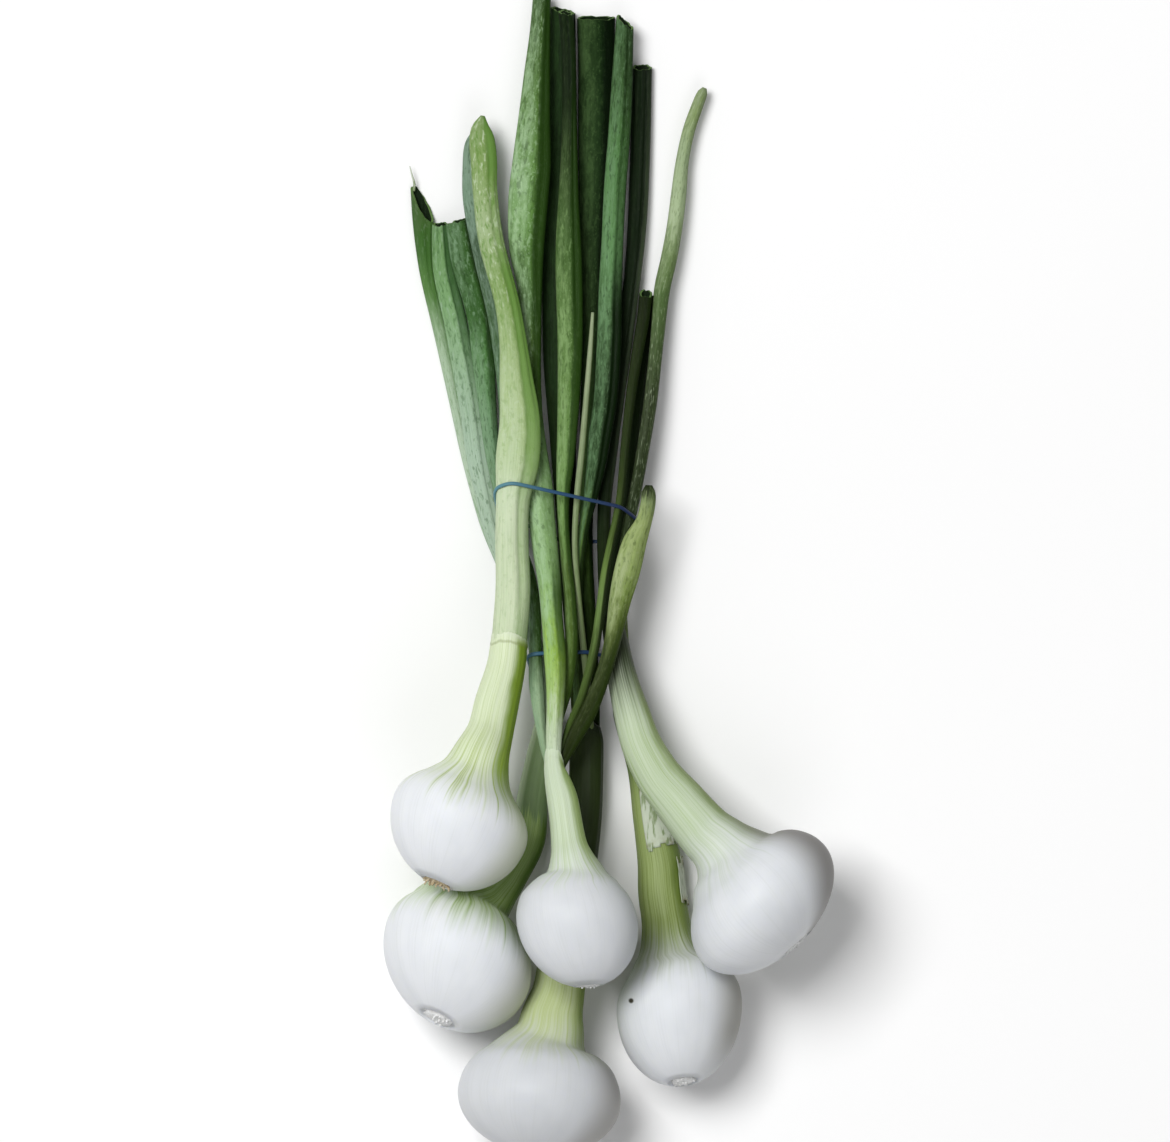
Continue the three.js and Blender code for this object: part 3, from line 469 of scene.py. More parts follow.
def rings_round(places, side, up, across, upward):
    """Rings of points about places, from how far each point is to the side and upward."""
    return places[:, None] + side[:, None] * across[..., None] + up[:, None] * upward[..., None]


def grain_over(angle, travelled):
    """Where each point is: round the strand as a cosine and a sine, and how far along it."""
    shape = (len(travelled), len(angle))
    layers = (np.cos(angle), np.sin(angle), travelled[:, None])
    return np.stack([np.broadcast_to(layer, shape) for layer in layers], axis=-1)


def waves(angle, distance, seed, counts, length):
    """Uneven relief from 0 to 1 over a strand: waves round it that drift as they go along."""
    rng = np.random.default_rng(seed)
    total = np.zeros(np.broadcast(angle, distance).shape)
    for count in counts:
        start, drift, swell = rng.uniform(0, 2 * math.pi), rng.uniform(-1, 1), rng.uniform(0, 6)
        fade = 0.65 + 0.35 * np.cos(distance / length * 2 * math.pi + swell)
        total += fade * np.cos(count * angle + start + drift * distance / length * 2 * math.pi)
    return 0.5 + 0.5 * total / len(counts)


def turn_between(angle, middle):
    """The angle in degrees from a middle given in degrees, from -180 to 180."""
    return (np.degrees(angle) - middle + 180) % 360 - 180


# ---------------------------------------------------------------- meshes

def add_object(name, data):
    obj = bpy.data.objects.new(name, data)
    bpy.context.scene.collection.objects.link(obj)
    return obj


def point_values(mesh, name, values):
    """Notes a number or a vector at each point of a mesh."""
    kind, field = ("FLOAT", "value") if values.shape[-1] == 1 else ("FLOAT_VECTOR", "vector")
    layer = mesh.attributes.new(name, kind, "POINT")
    layer.data.foreach_set(field, values.ravel().astype(np.float32))


def strand_object(name, rings, attributes, close_ends=(True, True)):
    """A mesh over rings of equally many points, in millimetres, with values for each point."""
    count, sides = rings.shape[:2]
    closed = [end for end, wanted in zip((0, count - 1), close_ends) if wanted]
    r, i = np.meshgrid(np.arange(count - 1), np.arange(sides), indexing="ij")
    j = (i + 1) % sides
    corners = [r * sides + i, (r + 1) * sides + i, (r + 1) * sides + j, r * sides + j]
    quads = np.stack(corners, axis=-1).reshape(-1, 4)
    faces = quads.tolist()
    for extra, end in enumerate(closed):
        centre = count * sides + extra
        for k in range(sides):
            a, b = end * sides + k, end * sides + (k + 1) % sides
            faces.append([centre, a, b] if end == 0 else [centre, b, a])

    def every_point(values):
        """Values for the rings' points, then for the middle of each closed end."""
        middles = [values[end].mean(axis=0, keepdims=True) for end in closed]
        return np.concatenate([values.reshape(-1, values.shape[-1]), *middles])

    mesh = bpy.data.meshes.new(name)
    mesh.from_pydata(every_point(rings * MM).tolist(), [], faces)
    for key, values in attributes.items():
        point_values(mesh, key, every_point(values.reshape(count, sides, -1)))
    add_uv(mesh, rings, quads)
    mesh.shade_smooth()
    mesh.update()
    return add_object(name, mesh)


def add_uv(mesh, rings, quads):
    """Once round the strand is 1 across, and a decimetre along it is 1 up."""
    sides = rings.shape[1]
    up = distances(rings.mean(axis=1)) / DECIMETRE
    layer = mesh.uv_layers.new(name="UVMap")
    uv = np.zeros((len(mesh.loops), 2))
    r, i = np.divmod(np.arange(len(quads)), sides)
    across = np.stack([i, i, i + 1, i + 1], axis=-1) / sides
    lengthwise = np.stack([up[r], up[r + 1], up[r + 1], up[r]], axis=-1)
    uv[: 4 * len(quads), 0] = across.ravel()
    uv[: 4 * len(quads), 1] = lengthwise.ravel()
    layer.data.foreach_set("uv", uv.ravel())


def read_points(mesh, field="co"):
    values = np.zeros(len(mesh.vertices) * 3)
    mesh.vertices.foreach_get(field, values)
    return values.reshape(-1, 3)


def edit_mesh(mesh, change):
    """Opens a mesh for a change, and writes it back."""
    opened = bmesh.new()
    opened.from_mesh(mesh)
    change(opened)
    opened.to_mesh(mesh)
    opened.free()


# ---------------------------------------------------------------- bulbs and stems

def onion_rows(onion):
    """The rows of a bulb and its stem: the round of the bulb, its shoulder, then its stem."""
    along, side, _ = frames_at(np.array([onion["toward"]], float))
    centre = np.array(onion["centre"], float)

    def ring(distance, across, radius):
        place = centre + along[0] * distance + side[0] * across
        return [*place, 2 * radius, 2 * radius]

    rows = []
    for degrees in BULB_ANGLES:
        angle = math.radians(degrees)
        reach = onion["root_reach"] if degrees < 90 else onion["neck_reach"]
        distance = -reach * math.cos(angle)
        radius = BULB_FIT * onion["radius"] * math.sin(angle)
        rows.append(ring(distance, onion["skew"] * distance, radius))
    rows += [ring(*row) for row in onion["shoulder"]]
    return rows + [list(row) for row in onion["stem"]]


def onion_relief(onion, seed, angle, gone, reach):
    """How far a bulb and its stem sink in: lumps, ribs, and the crease below the collar."""
    gone, left = gone[:, None], (gone[-1] - gone)[:, None]
    upto_neck = (reach / onion["neck_reach"])[:, None]
    lumps = waves(angle, gone, seed, *BULB_LUMPS)
    ribs = waves(angle, gone, seed + 50, *BULB_RIBS)
    depth = onion["ribs"] + NECK_RIBS * smoothstep(0.2, 1, upto_neck)
    depth = depth + STEM_RIBS * smoothstep(0.6, 1.4, upto_neck)
    crease = (CREASE_AT + CREASE_TILT * np.cos(angle + 0.6) - left) / CREASE_WIDTH
    return LUMP_DEPTH * lumps + depth * ribs + CREASE_DEPTH * onion["ring"] * np.exp(-(crease**2))


def collar_narrowing(onion, left):
    """The share of the stem's width that is left, so far from the collar's edge."""
    _, _, narrowing, least = onion["collar"]
    lip = least + (1 - least) * smoothstep(0, narrowing, left)
    return lip * (0.9 + 0.1 * np.sqrt(np.clip(left / EDGE_ROUNDING, 0, 1)))


def collar_tear(onion, seed, angle, left):
    """How far back each point lies, so that the collar's edge slants and is torn."""
    highest, drop, _, _ = onion["collar"]
    low = (1 - np.cos(angle - math.radians(highest))) / 2 * drop
    low = low + COLLAR_TEAR * waves(angle, 0.0, seed + 7, *TEAR_WAVES)
    pull = np.clip(1 - left / (2 * drop + 4), 0, 1)[:, None] ** 2
    return pull * low


def dimple_rings(place, along, side, up, radius, angle):
    """The floor and the mouth of the dimple at the root end."""
    rim = radius - DIMPLE_GAP
    spokes = side * np.cos(angle)[:, None] + up * np.sin(angle)[:, None]
    floor = place + along * PLATE_DEPTH + rim * 0.97 * spokes
    mouth = place + along * MOUTH_DEPTH + rim * spokes
    return [floor, mouth]


def onion_object(letter):
    """One bulb with its stem, from the dimple at its root end to the collar where leaves part."""
    onion, seed = ONIONS[letter], ord(letter)
    stations = smooth_route(onion_rows(onion), BULB_SPACING)
    places, half, passed = stations[:, :3], stations[:, 3:5] / 2, stations[:, 5]
    first = len(BULB_ANGLES) - 1
    turned = smoothstep(first, first + len(onion["shoulder"]) + 1, passed)[:, None]
    axis = unit(np.array(onion["toward"], float))
    along, side, up = frames_at(axis * (1 - turned) + route_directions(places) * turned)
    reach = (places - np.array(onion["centre"])) @ axis
    gone = distances(places)
    left = gone[-1] - gone
    angle = ring_angles(BULB_SIDES)

    narrowed = half * collar_narrowing(onion, left)[:, None]
    inward = onion_relief(onion, seed, angle, gone, reach)
    across = (narrowed[:, :1] - inward) * np.cos(angle)
    upward = (narrowed[:, 1:] - inward) * np.sin(angle)
    rings = rings_round(places, side, up, across, upward)
    rings = rings - along[:, None] * collar_tear(onion, seed, angle, left)[..., None]
    dimple = dimple_rings(places[0], along[0], side[0], up[0], half[0, 0], angle)
    rings = np.concatenate([dimple, rings])
    rings[..., 2] = np.maximum(rings[..., 2], 0)

    def with_dimple(values):
        return np.concatenate([values[:1], values[:1], values])

    def spread(values):
        return np.broadcast_to(with_dimple(values)[:, None], rings.shape[:2])

    travelled = gone - gone[np.argmax(reach >= 0)]
    values = {
        "grain": grain_over(angle, with_dimple(gone / DECIMETRE)),
        "reach": spread(travelled),
        "ending": spread(left),
    }
    return strand_object(f"bulb_{letter}", rings, values)


# ---------------------------------------------------------------- dry scraps of skin

def patch_under(scrap, stem):
    """The points and normals of the stem below a scrap, in rows round it."""
    reach = np.zeros(len(stem.vertices))
    stem.attributes["reach"].data.foreach_get("value", reach)
    ring_reach = reach[: len(reach) // BULB_SIDES * BULB_SIDES : BULB_SIDES]
    begins, ends = scrap["reach"]
    rows = np.nonzero((ring_reach >= begins) & (ring_reach <= ends))[0][:, None]
    first, last = (round(degrees / 360 * BULB_SIDES) for degrees in scrap["around"])
    index = rows * BULB_SIDES + np.arange(first, last + 1) % BULB_SIDES
    return read_points(stem)[index], read_points(stem, "normal")[index]


def lifted_edges(u, v, most, rng):
    """How far a scrap stands off the stem: close in its middle, and unevenly at its edges."""
    flutter = sum(
        rng.uniform(0.1, 0.3) * np.cos(k * 3.1 * u + rng.uniform(0, 6) + v * rng.uniform(-4, 4))
        for k in (1, 2, 3, 5)
    )
    edge = np.minimum(np.minimum(u, 1 - u), np.minimum(v, 1 - v))
    lift = SCRAP_CLEARANCE + most * (1 - smoothstep(0, 0.3, edge)) * (0.6 + flutter)
    return np.maximum(lift, SCRAP_LEAST)


def frayed_ends(u, rng):
    """How deep the ends of a scrap are torn across it, from 0 to 1."""
    frayed = 0.5 + 0.3 * np.cos(u * 21 + rng.uniform(0, 6)) * np.cos(u * 8 + rng.uniform(0, 6))
    return frayed + 0.2 * np.cos(u * 57 + rng.uniform(0, 6)) * np.cos(u * 33)


def scrap_mesh(name, grid, keep, fray):
    """The cells of a grid whose four corners are kept."""
    count, sides = keep.shape
    whole = keep[:-1, :-1] & keep[1:, :-1] & keep[:-1, 1:] & keep[1:, 1:]
    i = (np.arange(count - 1)[:, None] * sides + np.arange(sides - 1))[whole]
    faces = np.stack([i, i + sides, i + sides + 1, i + 1], axis=-1)
    mesh = bpy.data.meshes.new(name)
    mesh.from_pydata(grid.reshape(-1, 3).tolist(), [], faces.tolist())
    point_values(mesh, "fray", fray[..., None])

    def drop_loose(opened):
        loose = [vertex for vertex in opened.verts if not vertex.link_faces]
        bmesh.ops.delete(opened, geom=loose, context="VERTS")

    edit_mesh(mesh, drop_loose)
    mesh.shade_smooth()
    return mesh


def scrap_object(name, scrap, stem):
    """A torn scrap of dry skin that clings to a stem, from the stem's own points."""
    points, normals = patch_under(scrap, stem)
    rng = np.random.default_rng(scrap["seed"])
    u = np.linspace(0, 1, points.shape[1])
    v = np.linspace(0, 1, points.shape[0])[:, None]
    grid = points + normals * (lifted_edges(u, v, scrap["lift"], rng) * MM)[..., None]
    torn = scrap["tear"] * frayed_ends(u, rng)
    keep = (v >= torn * 0.5) & (v <= 1 - torn) & (u > 0.03 + 0.05 * np.cos(v * 17) ** 2)
    fray = 1 - smoothstep(0.02, 0.16, np.minimum(v - torn * 0.5, 1 - torn - v))
    obj = add_object(name, scrap_mesh(name, grid, keep, fray))
    thick = obj.modifiers.new("thickness", "SOLIDIFY")
    thick.thickness = SCRAP_THICKNESS * MM
    thick.offset = 1
    return obj


# ---------------------------------------------------------------- leaves

def leaf_relief(leaf, seed, angle, gone):
    """How far a leaf sinks in, as a share of its size: uneven sides, fine ribs and its folds."""
    share = gone / gone[-1]
    relief = LUMP_SHARE * waves(angle, gone[:, None], seed, *LEAF_LUMPS)
    relief = relief + RIB_SHARE * waves(angle, gone[:, None], seed + 9, *LEAF_RIBS)
    for middle, width, depth, start, end in leaf.get("folds", ()):
        near = np.exp(-((turn_between(angle, middle) / width) ** 2))
        fade = smoothstep(start - 0.05, start + 0.03, share)
        fade = fade * (1 - smoothstep(end - 0.03, end + 0.05, share))
        relief = relief + depth * fade[:, None] * near
    return np.clip(relief, 0, DEEPEST_SHARE)


def leaf_cut(leaf, seed, angle):
    """How far past its end a leaf reaches at each angle: a slanting cut with a ragged edge."""
    if leaf.get("tip"):
        return np.zeros(len(angle))
    rng = np.random.default_rng(seed + 3)
    ragged = sum(
        rng.uniform(*CUT_RAGGED) * np.cos(k * angle + rng.uniform(0, 6.28)) for k in CUT_WAVES
    )
    across, down = leaf["slant"]
    return np.cos(angle) * across / 2 - np.sin(angle) * down / 2 + ragged - CUT_BACK


def leaf_object(name):
    """One leaf from its foot in the stem to its closed tip or its open cut end."""
    leaf = LEAVES[name]
    seed = sum(ord(c) * (k + 1) for k, c in enumerate(name))
    stations = smooth_route(leaf["route"], LEAF_SPACING)
    places, half = stations[:, :3], stations[:, 3:5] / 2
    along, side, up = frames_at(route_directions(places))
    gone = distances(places)
    angle = ring_angles(LEAF_SIDES)
    scale = 1 - leaf_relief(leaf, seed, angle, gone)
    across = half[:, :1] * scale * np.cos(angle)
    upward = half[:, 1:] * scale * np.sin(angle)

    cut = leaf_cut(leaf, seed, angle)
    taken = CUT_REACH * sum(map(abs, leaf.get("slant", (0, 0)))) / 2 + 3
    pull = np.clip(1 - (gone[-1] - gone) / taken, 0, 1)[:, None] ** 2
    rings = rings_round(places, side, up, across, upward)
    rings = rings + along[:, None] * (pull * cut)[..., None]
    inside = rim = np.zeros(rings.shape[:2])
    if not leaf.get("tip") and stations[-1, 4] >= HOLLOW_LEAST:
        end = (places[-1], along[-1], side[-1], up[-1])
        rings, inside, rim = open_end(rings, end, across[-1], upward[-1], cut)
    rings[..., 2] = np.maximum(rings[..., 2], 0)
    travelled = np.concatenate([gone, np.full(len(rings) - len(places), gone[-1])])
    values = {
        "grain": grain_over(angle, travelled / DECIMETRE),
        "share": np.broadcast_to(travelled[:, None] / gone[-1], rings.shape[:2]),
        "inside": inside,
        "rim": rim,
    }
    return strand_object(f"leaf_{name}", rings, values)


def open_end(rings, end, across, upward, cut):
    """Adds the cut rim of a hollow leaf and the wall inside it, and notes which is which."""
    place, along, side, up = end
    size = np.hypot(across, upward)
    inner = 1 - LEAF_WALL / np.maximum(size, LEAF_WALL * 1.6)
    inside = rim = np.zeros(rings.shape[:2])
    for depth, shrink, is_inside in (
        (-0.12, 1 - 0.1 / size, False),
        (0.0, inner, False),
        (0.25, inner * 0.99, True),
        (HOLLOW_DEPTH * 0.4, inner * 0.92, True),
        (HOLLOW_DEPTH, inner * 0.8, True),
    ):
        back = np.clip(1 - depth / HOLLOW_DEPTH, 0, 1)
        ring = place + side * (across * shrink)[:, None] + up * (upward * shrink)[:, None]
        ring = ring + along * (cut * back - depth)[:, None]
        rings = np.concatenate([rings, [ring]])
        inside = np.concatenate([inside, np.full((1, LEAF_SIDES), float(is_inside))])
        rim = np.concatenate([rim, np.full((1, LEAF_SIDES), float(not is_inside))])
    return rings, inside, rim


def wisp_object():
    """The dry thread that curls off the high corner of the slanted leaf."""
    stations = smooth_route(WISP_ROUTE, WISP_SPACING)
    places = stations[:, :3]
    _, side, up = frames_at(route_directions(places))
    angle = ring_angles(WISP_SIDES)
    across = stations[:, 3:4] / 2 * np.cos(angle)
    upward = stations[:, 4:5] / 2 * np.sin(angle)
    return strand_object("wisp", rings_round(places, side, up, across, upward), {})


# ---------------------------------------------------------------- bands

def outline(points):
    """The convex outline of points, anticlockwise."""
    ordered = sorted(map(tuple, points))

    def turn(o, a, b):
        return (a[0] - o[0]) * (b[1] - o[1]) - (a[1] - o[1]) * (b[0] - o[0])

    def half(places):
        chain = []
        for p in places:
            while len(chain) > 1 and turn(chain[-2], chain[-1], p) <= 0:
                chain.pop()
            chain.append(p)
        return chain[:-1]

    return np.array(half(ordered) + half(ordered[::-1]))


def band_path(crossings):
    """A smooth loop round where the tied leaves cross the band's plane, seen along the bunch."""
    ring = outline(crossings)
    closed = np.concatenate([ring, ring[:1]])
    gone = distances(closed)
    count = int(gone[-1] / BAND_SPACING)
    where = np.arange(count) * gone[-1] / count
    path = np.stack([np.interp(where, gone, closed[:, k]) for k in (0, 1)], axis=-1)
    for _ in range(3):
        path = (np.roll(path, 1, axis=0) + 2 * path + np.roll(path, -1, axis=0)) / 4
    forward = unit(np.roll(path, -1, axis=0) - np.roll(path, 1, axis=0))
    outward = np.stack([forward[:, 1], -forward[:, 0]], axis=-1)
    return path + outward * (BAND_FLATNESS * BAND_RADIUS + BAND_GAP)


def band_object(name, band, leaves):
    """A band pulled tight round the leaves that it ties."""
    at = np.array(band["at"], float)

    def plane(x, z):
        return at[1] + band["across"] * (x - at[0]) + band["rise"] * (z - at[2])

    crossings = []
    for tied in band["ties"]:
        x, y, z = (read_points(leaves[tied].data) / MM).T
        near = np.abs(y - plane(x, z)) < LEAF_SPACING
        crossings.append(np.stack([x, z], axis=-1)[near])
    x, z = band_path(np.concatenate(crossings)).T
    places = np.stack([x, plane(x, z), z], axis=-1)
    normal = unit(np.array([-band["across"], 1.0, -band["rise"]]))
    along = unit(np.roll(places, -1, axis=0) - np.roll(places, 1, axis=0))
    side = unit(np.cross(along, normal))
    angle = ring_angles(BAND_SIDES)
    across = BAND_FLATNESS * BAND_RADIUS * np.cos(angle)[None]
    upward = BAND_RADIUS * np.sin(angle)[None]
    rings = rings_round(places, side, normal[None], across, upward)
    rings = np.concatenate([rings, rings[:1]])
    values = {"grain": grain_over(angle, np.arange(len(rings)) / len(rings))}
    obj = strand_object(name, rings, values, close_ends=(False, False))

    def join_seam(opened):
        bmesh.ops.remove_doubles(opened, verts=opened.verts, dist=1e-6)

    edit_mesh(obj.data, join_seam)
    return obj


# ---------------------------------------------------------------- nodes

def set_socket(tree, socket, value):
    """Links a socket to another, or gives it a value."""
    if isinstance(value, bpy.types.NodeSocket):
        tree.links.new(value, socket)
    else:
        socket.default_value = value


def add_node(tree, kind, inputs=(), **settings):
    made = tree.nodes.new(kind)
    for key, value in settings.items():
        setattr(made, key, value)
    for key, value in dict(inputs).items():
        set_socket(tree, made.inputs[key], value)
    return made


# ---------------------------------------------------------------- roots

STUB_INPUTS = {
    "Density": ("NodeSocketFloat", STUB_DENSITY),
    "Length": ("NodeSocketFloat", MM),
    "Radius": ("NodeSocketFloat", STUB_RADIUS * MM),
    "Lean": ("NodeSocketFloat", STUB_LEAN),
    "Seed": ("NodeSocketInt", 1),
}


def stub_tree(material):
    """Geometry Nodes that grow dry root stubs out of a root plate."""
    tree = bpy.data.node_groups.new("root_stubs", "GeometryNodeTree")
    tree.interface.new_socket("Plate", in_out="INPUT", socket_type="NodeSocketGeometry")
    tree.interface.new_socket("Stubs", in_out="OUTPUT", socket_type="NodeSocketGeometry")
    ids = {}
    for name, (kind, default) in STUB_INPUTS.items():
        socket = tree.interface.new_socket(name, in_out="INPUT", socket_type=kind)
        socket.default_value = default
        ids[name] = socket.identifier

    def node(kind, inputs=(), **settings):
        return add_node(tree, kind, inputs, **settings).outputs

    given = node("NodeGroupInput")
    plate, lean, seed = given["Plate"], given["Lean"], given["Seed"]
    spread = {"Mesh": plate, "Density": given["Density"], "Seed": seed}
    points = node("GeometryNodeDistributePointsOnFaces", spread, distribute_method="RANDOM")
    tip = node("ShaderNodeMath", {0: given["Radius"], 1: STUB_TAPER}, operation="MULTIPLY")
    sides = {"Vertices": STUB_SIDES, "Side Segments": 4, "Depth": 1.0}
    sides.update({"Radius Bottom": given["Radius"], "Radius Top": tip[0]})
    cone = node("GeometryNodeMeshCone", sides, fill_type="TRIANGLE_FAN")
    size = node("FunctionNodeRandomValue", {2: STUB_SHORTEST, 3: 1.0, "Seed": seed}, data_type="FLOAT")
    height = node("ShaderNodeMath", {0: size[1], 1: given["Length"]}, operation="MULTIPLY")
    grown = node("ShaderNodeCombineXYZ", {0: 1.0, 1: 1.0, 2: height[0]})
    most = node("ShaderNodeCombineXYZ", {0: lean, 1: lean})
    least = node("ShaderNodeVectorMath", {0: most[0], "Scale": -1.0}, operation="SCALE")
    limits = {0: least[0], 1: most[0], "Seed": seed}
    leaning = node("FunctionNodeRandomValue", limits, data_type="FLOAT_VECTOR")
    turn = node("FunctionNodeEulerToRotation", {0: leaning[0]})
    turns = {"Rotation": points["Rotation"], "Rotate By": turn[0]}
    tilt = node("FunctionNodeRotateRotation", turns, rotation_space="LOCAL")
    stubs = {"Points": points["Points"], "Instance": cone["Mesh"], "Rotation": tilt[0]}
    place = node("GeometryNodeInstanceOnPoints", {**stubs, "Scale": grown[0]})
    join = add_node(tree, "GeometryNodeJoinGeometry", {0: place[0]})
    set_socket(tree, join.inputs[0], plate)
    real = node("GeometryNodeRealizeInstances", {0: join.outputs[0]})
    paint = node("GeometryNodeSetMaterial", {"Geometry": real[0], "Material": material})
    node("NodeGroupOutput", {0: paint[0]})
    return tree, ids


def plate_mesh(letter):
    """A low crowned disc in the dimple at a bulb's root end, facing out of it."""
    onion = ONIONS[letter]
    *middle, width, _ = onion_rows(onion)[0]
    along, side, up = frames_at(np.array([onion["toward"]], float))
    radius = width / 2 * PLATE_INSET
    angle = ring_angles(PLATE_SIDES)
    spokes = side * np.cos(angle)[:, None] + up * np.sin(angle)[:, None]
    wobble = 1 + 0.05 * np.cos(3 * angle + ord(letter)) + 0.04 * np.cos(5 * angle)
    rings = np.array(
        [
            np.array(middle) - along[0] * proud + spokes * (radius * share * wobble)[:, None]
            for share, proud in PLATE_RINGS
        ]
    )
    rings[..., 2] = np.maximum(rings[..., 2], 0.05)
    return strand_object(f"roots_{letter}", rings, {}, close_ends=(True, False))


def roots_object(letter, tree, ids):
    """The root plate of one bulb with its stubs, as a plain mesh."""
    obj = plate_mesh(letter)
    grow = obj.modifiers.new("grow", "NODES")
    grow.node_group = tree
    for name, (_, default) in STUB_INPUTS.items():
        grow[ids[name]] = default
    grow[ids["Length"]] = ONIONS[letter]["stubs"] * MM
    grow[ids["Seed"]] = ord(letter)
    ready = obj.evaluated_get(bpy.context.evaluated_depsgraph_get())
    mesh = bpy.data.meshes.new_from_object(ready)
    obj.modifiers.clear()
    obj.data = mesh
    mesh.materials.clear()
    return obj


# ---------------------------------------------------------------- materials

class Shader:
    """A material under way: its nodes are made and linked in one call each."""

    def __init__(self, name):
        self.material = bpy.data.materials.new(name)
        self.material.use_nodes = True
        self.tree = self.material.node_tree
        self.surface = self.tree.nodes["Principled BSDF"]

    def node(self, kind, inputs=(), **settings):
        return add_node(self.tree, kind, inputs, **settings).outputs

    def place(self):
        return self.node("ShaderNodeTexCoord")["Object"]

    def axes(self, vector):
        return self.node("ShaderNodeSeparateXYZ", {0: vector})

    def grain(self):
        """Where a point lies: across and over the strand from -1 to 1, and how far along it."""
        return self.node("ShaderNodeAttribute", attribute_name="grain")["Vector"]

    def number(self, name):
        return self.node("ShaderNodeAttribute", attribute_name=name)["Fac"]

    def math(self, operation, a, b):
        return self.node("ShaderNodeMath", {0: a, 1: b}, operation=operation)[0]

    def times(self, a, b):
        return self.math("MULTIPLY", a, b)

    def plus(self, a, b):
        return self.math("ADD", a, b)

    def stretched(self, vector, by):
        return self.node("ShaderNodeVectorMath", {0: vector, 1: by}, operation="MULTIPLY")[0]

    def noise(self, vector, scale, detail=3.0, distortion=0.0):
        inputs = {"Vector": vector, "Scale": scale, "Detail": detail, "Distortion": distortion}
        return self.node("ShaderNodeTexNoise", inputs)["Fac"]

    def grained(self, round_it, along, scale, detail=3.0, distortion=0.0):
        """Noise that is stretched so far round the strand and so far along it."""
        vector = self.stretched(self.grain(), (round_it, round_it, along))
        return self.noise(vector, scale, detail, distortion)

    def swing(self, noise, width):
        """Noise about zero, so wide."""
        return self.times(self.math("SUBTRACT", noise, 0.5), width)

    def rise(self, value, low, high):
        """0 where value is low, and 1 where it is high."""
        inputs = {"Value": value, "From Min": low, "From Max": high}
        return self.node("ShaderNodeMapRange", inputs, interpolation_type="SMOOTHSTEP")[0]

    def blend(self, share, a, b):
        a, b = ((*colour, 1.0) if isinstance(colour, tuple) else colour for colour in (a, b))
        return self.node("ShaderNodeMix", {0: share, 6: a, 7: b}, data_type="RGBA")[2]

    def tint(self, colour, share, strength, other):
        """The colour turned to another where share is 1, as far as strength says."""
        return self.blend(self.times(share, strength), colour, other)

    def shades(self, value, stops):
        """A run of colours over a value from 0 to 1."""
        made = add_node(self.tree, "ShaderNodeValToRGB", {0: value})
        elements = made.color_ramp.elements
        while len(elements) < len(stops):
            elements.new(0.5)
        for element, (place, colour) in zip(elements, stops):
            element.position = place
            element.color = (*colour, 1.0)
        return made.outputs[0]

    def strength(self, share, stops):
        """A run of numbers over a share from 0 to 1."""
        return self.shades(share, [(place, (value,) * 3) for place, value in stops])

    def bump(self, height, strength, distance):
        inputs = {"Height": height, "Strength": strength, "Distance": distance}
        set_socket(self.tree, self.surface.inputs["Normal"], self.node("ShaderNodeBump", inputs)[0])

    def finish(self, colour, **constants):
        set_socket(self.tree, self.surface.inputs["Base Color"], colour)
        for key, value in constants.items():
            set_socket(self.tree, self.surface.inputs[key.replace("_", " ")], value)
        return self.material


# Patterns in the grain of a strand: how far each is stretched round it and along it, then its scale,
# its detail and how warped it is, where these aren't the plain ones.
BULB_STREAKS = (6, 0.8, 2.2)
BULB_VEINS = (20, 1.0, 2.6, 2)
BULB_MOTTLE = (0.8, 2.6, 2.0)
LEAF_VEINS = (15, 1.6, 2.4, 2)
LEAF_PATCHES = (1.1, 7.0, 2.2, 4, 0.3)
LEAF_SPECKLE = (3.5, 42, 2.4)
LEAF_BLOTCHES = (1.8, 17, 2.2, 4, 0.4)

WHITE = (0.79, 0.81, 0.835)
COOL_SHADE = (0.72, 0.745, 0.775)
VEIN = (0.4, 0.42, 0.36)
ROOT_TINT = (0.27, 0.23, 0.18)
LIT_EDGE = (0.5, 0.6, 0.4)
COLLAR_EDGE = (0.2, 0.22, 0.06)
# Painted shade in the crease below the collar.
CREASE_SHADE = (0.2, 0.24, 0.08)
SPECK = (0.05, 0.045, 0.03)
SPECK_AT = (0.00805, -0.1498, 0.0)  # the one dark speck on bulb e, seen from above
SPECK_RADIUS = 0.0009
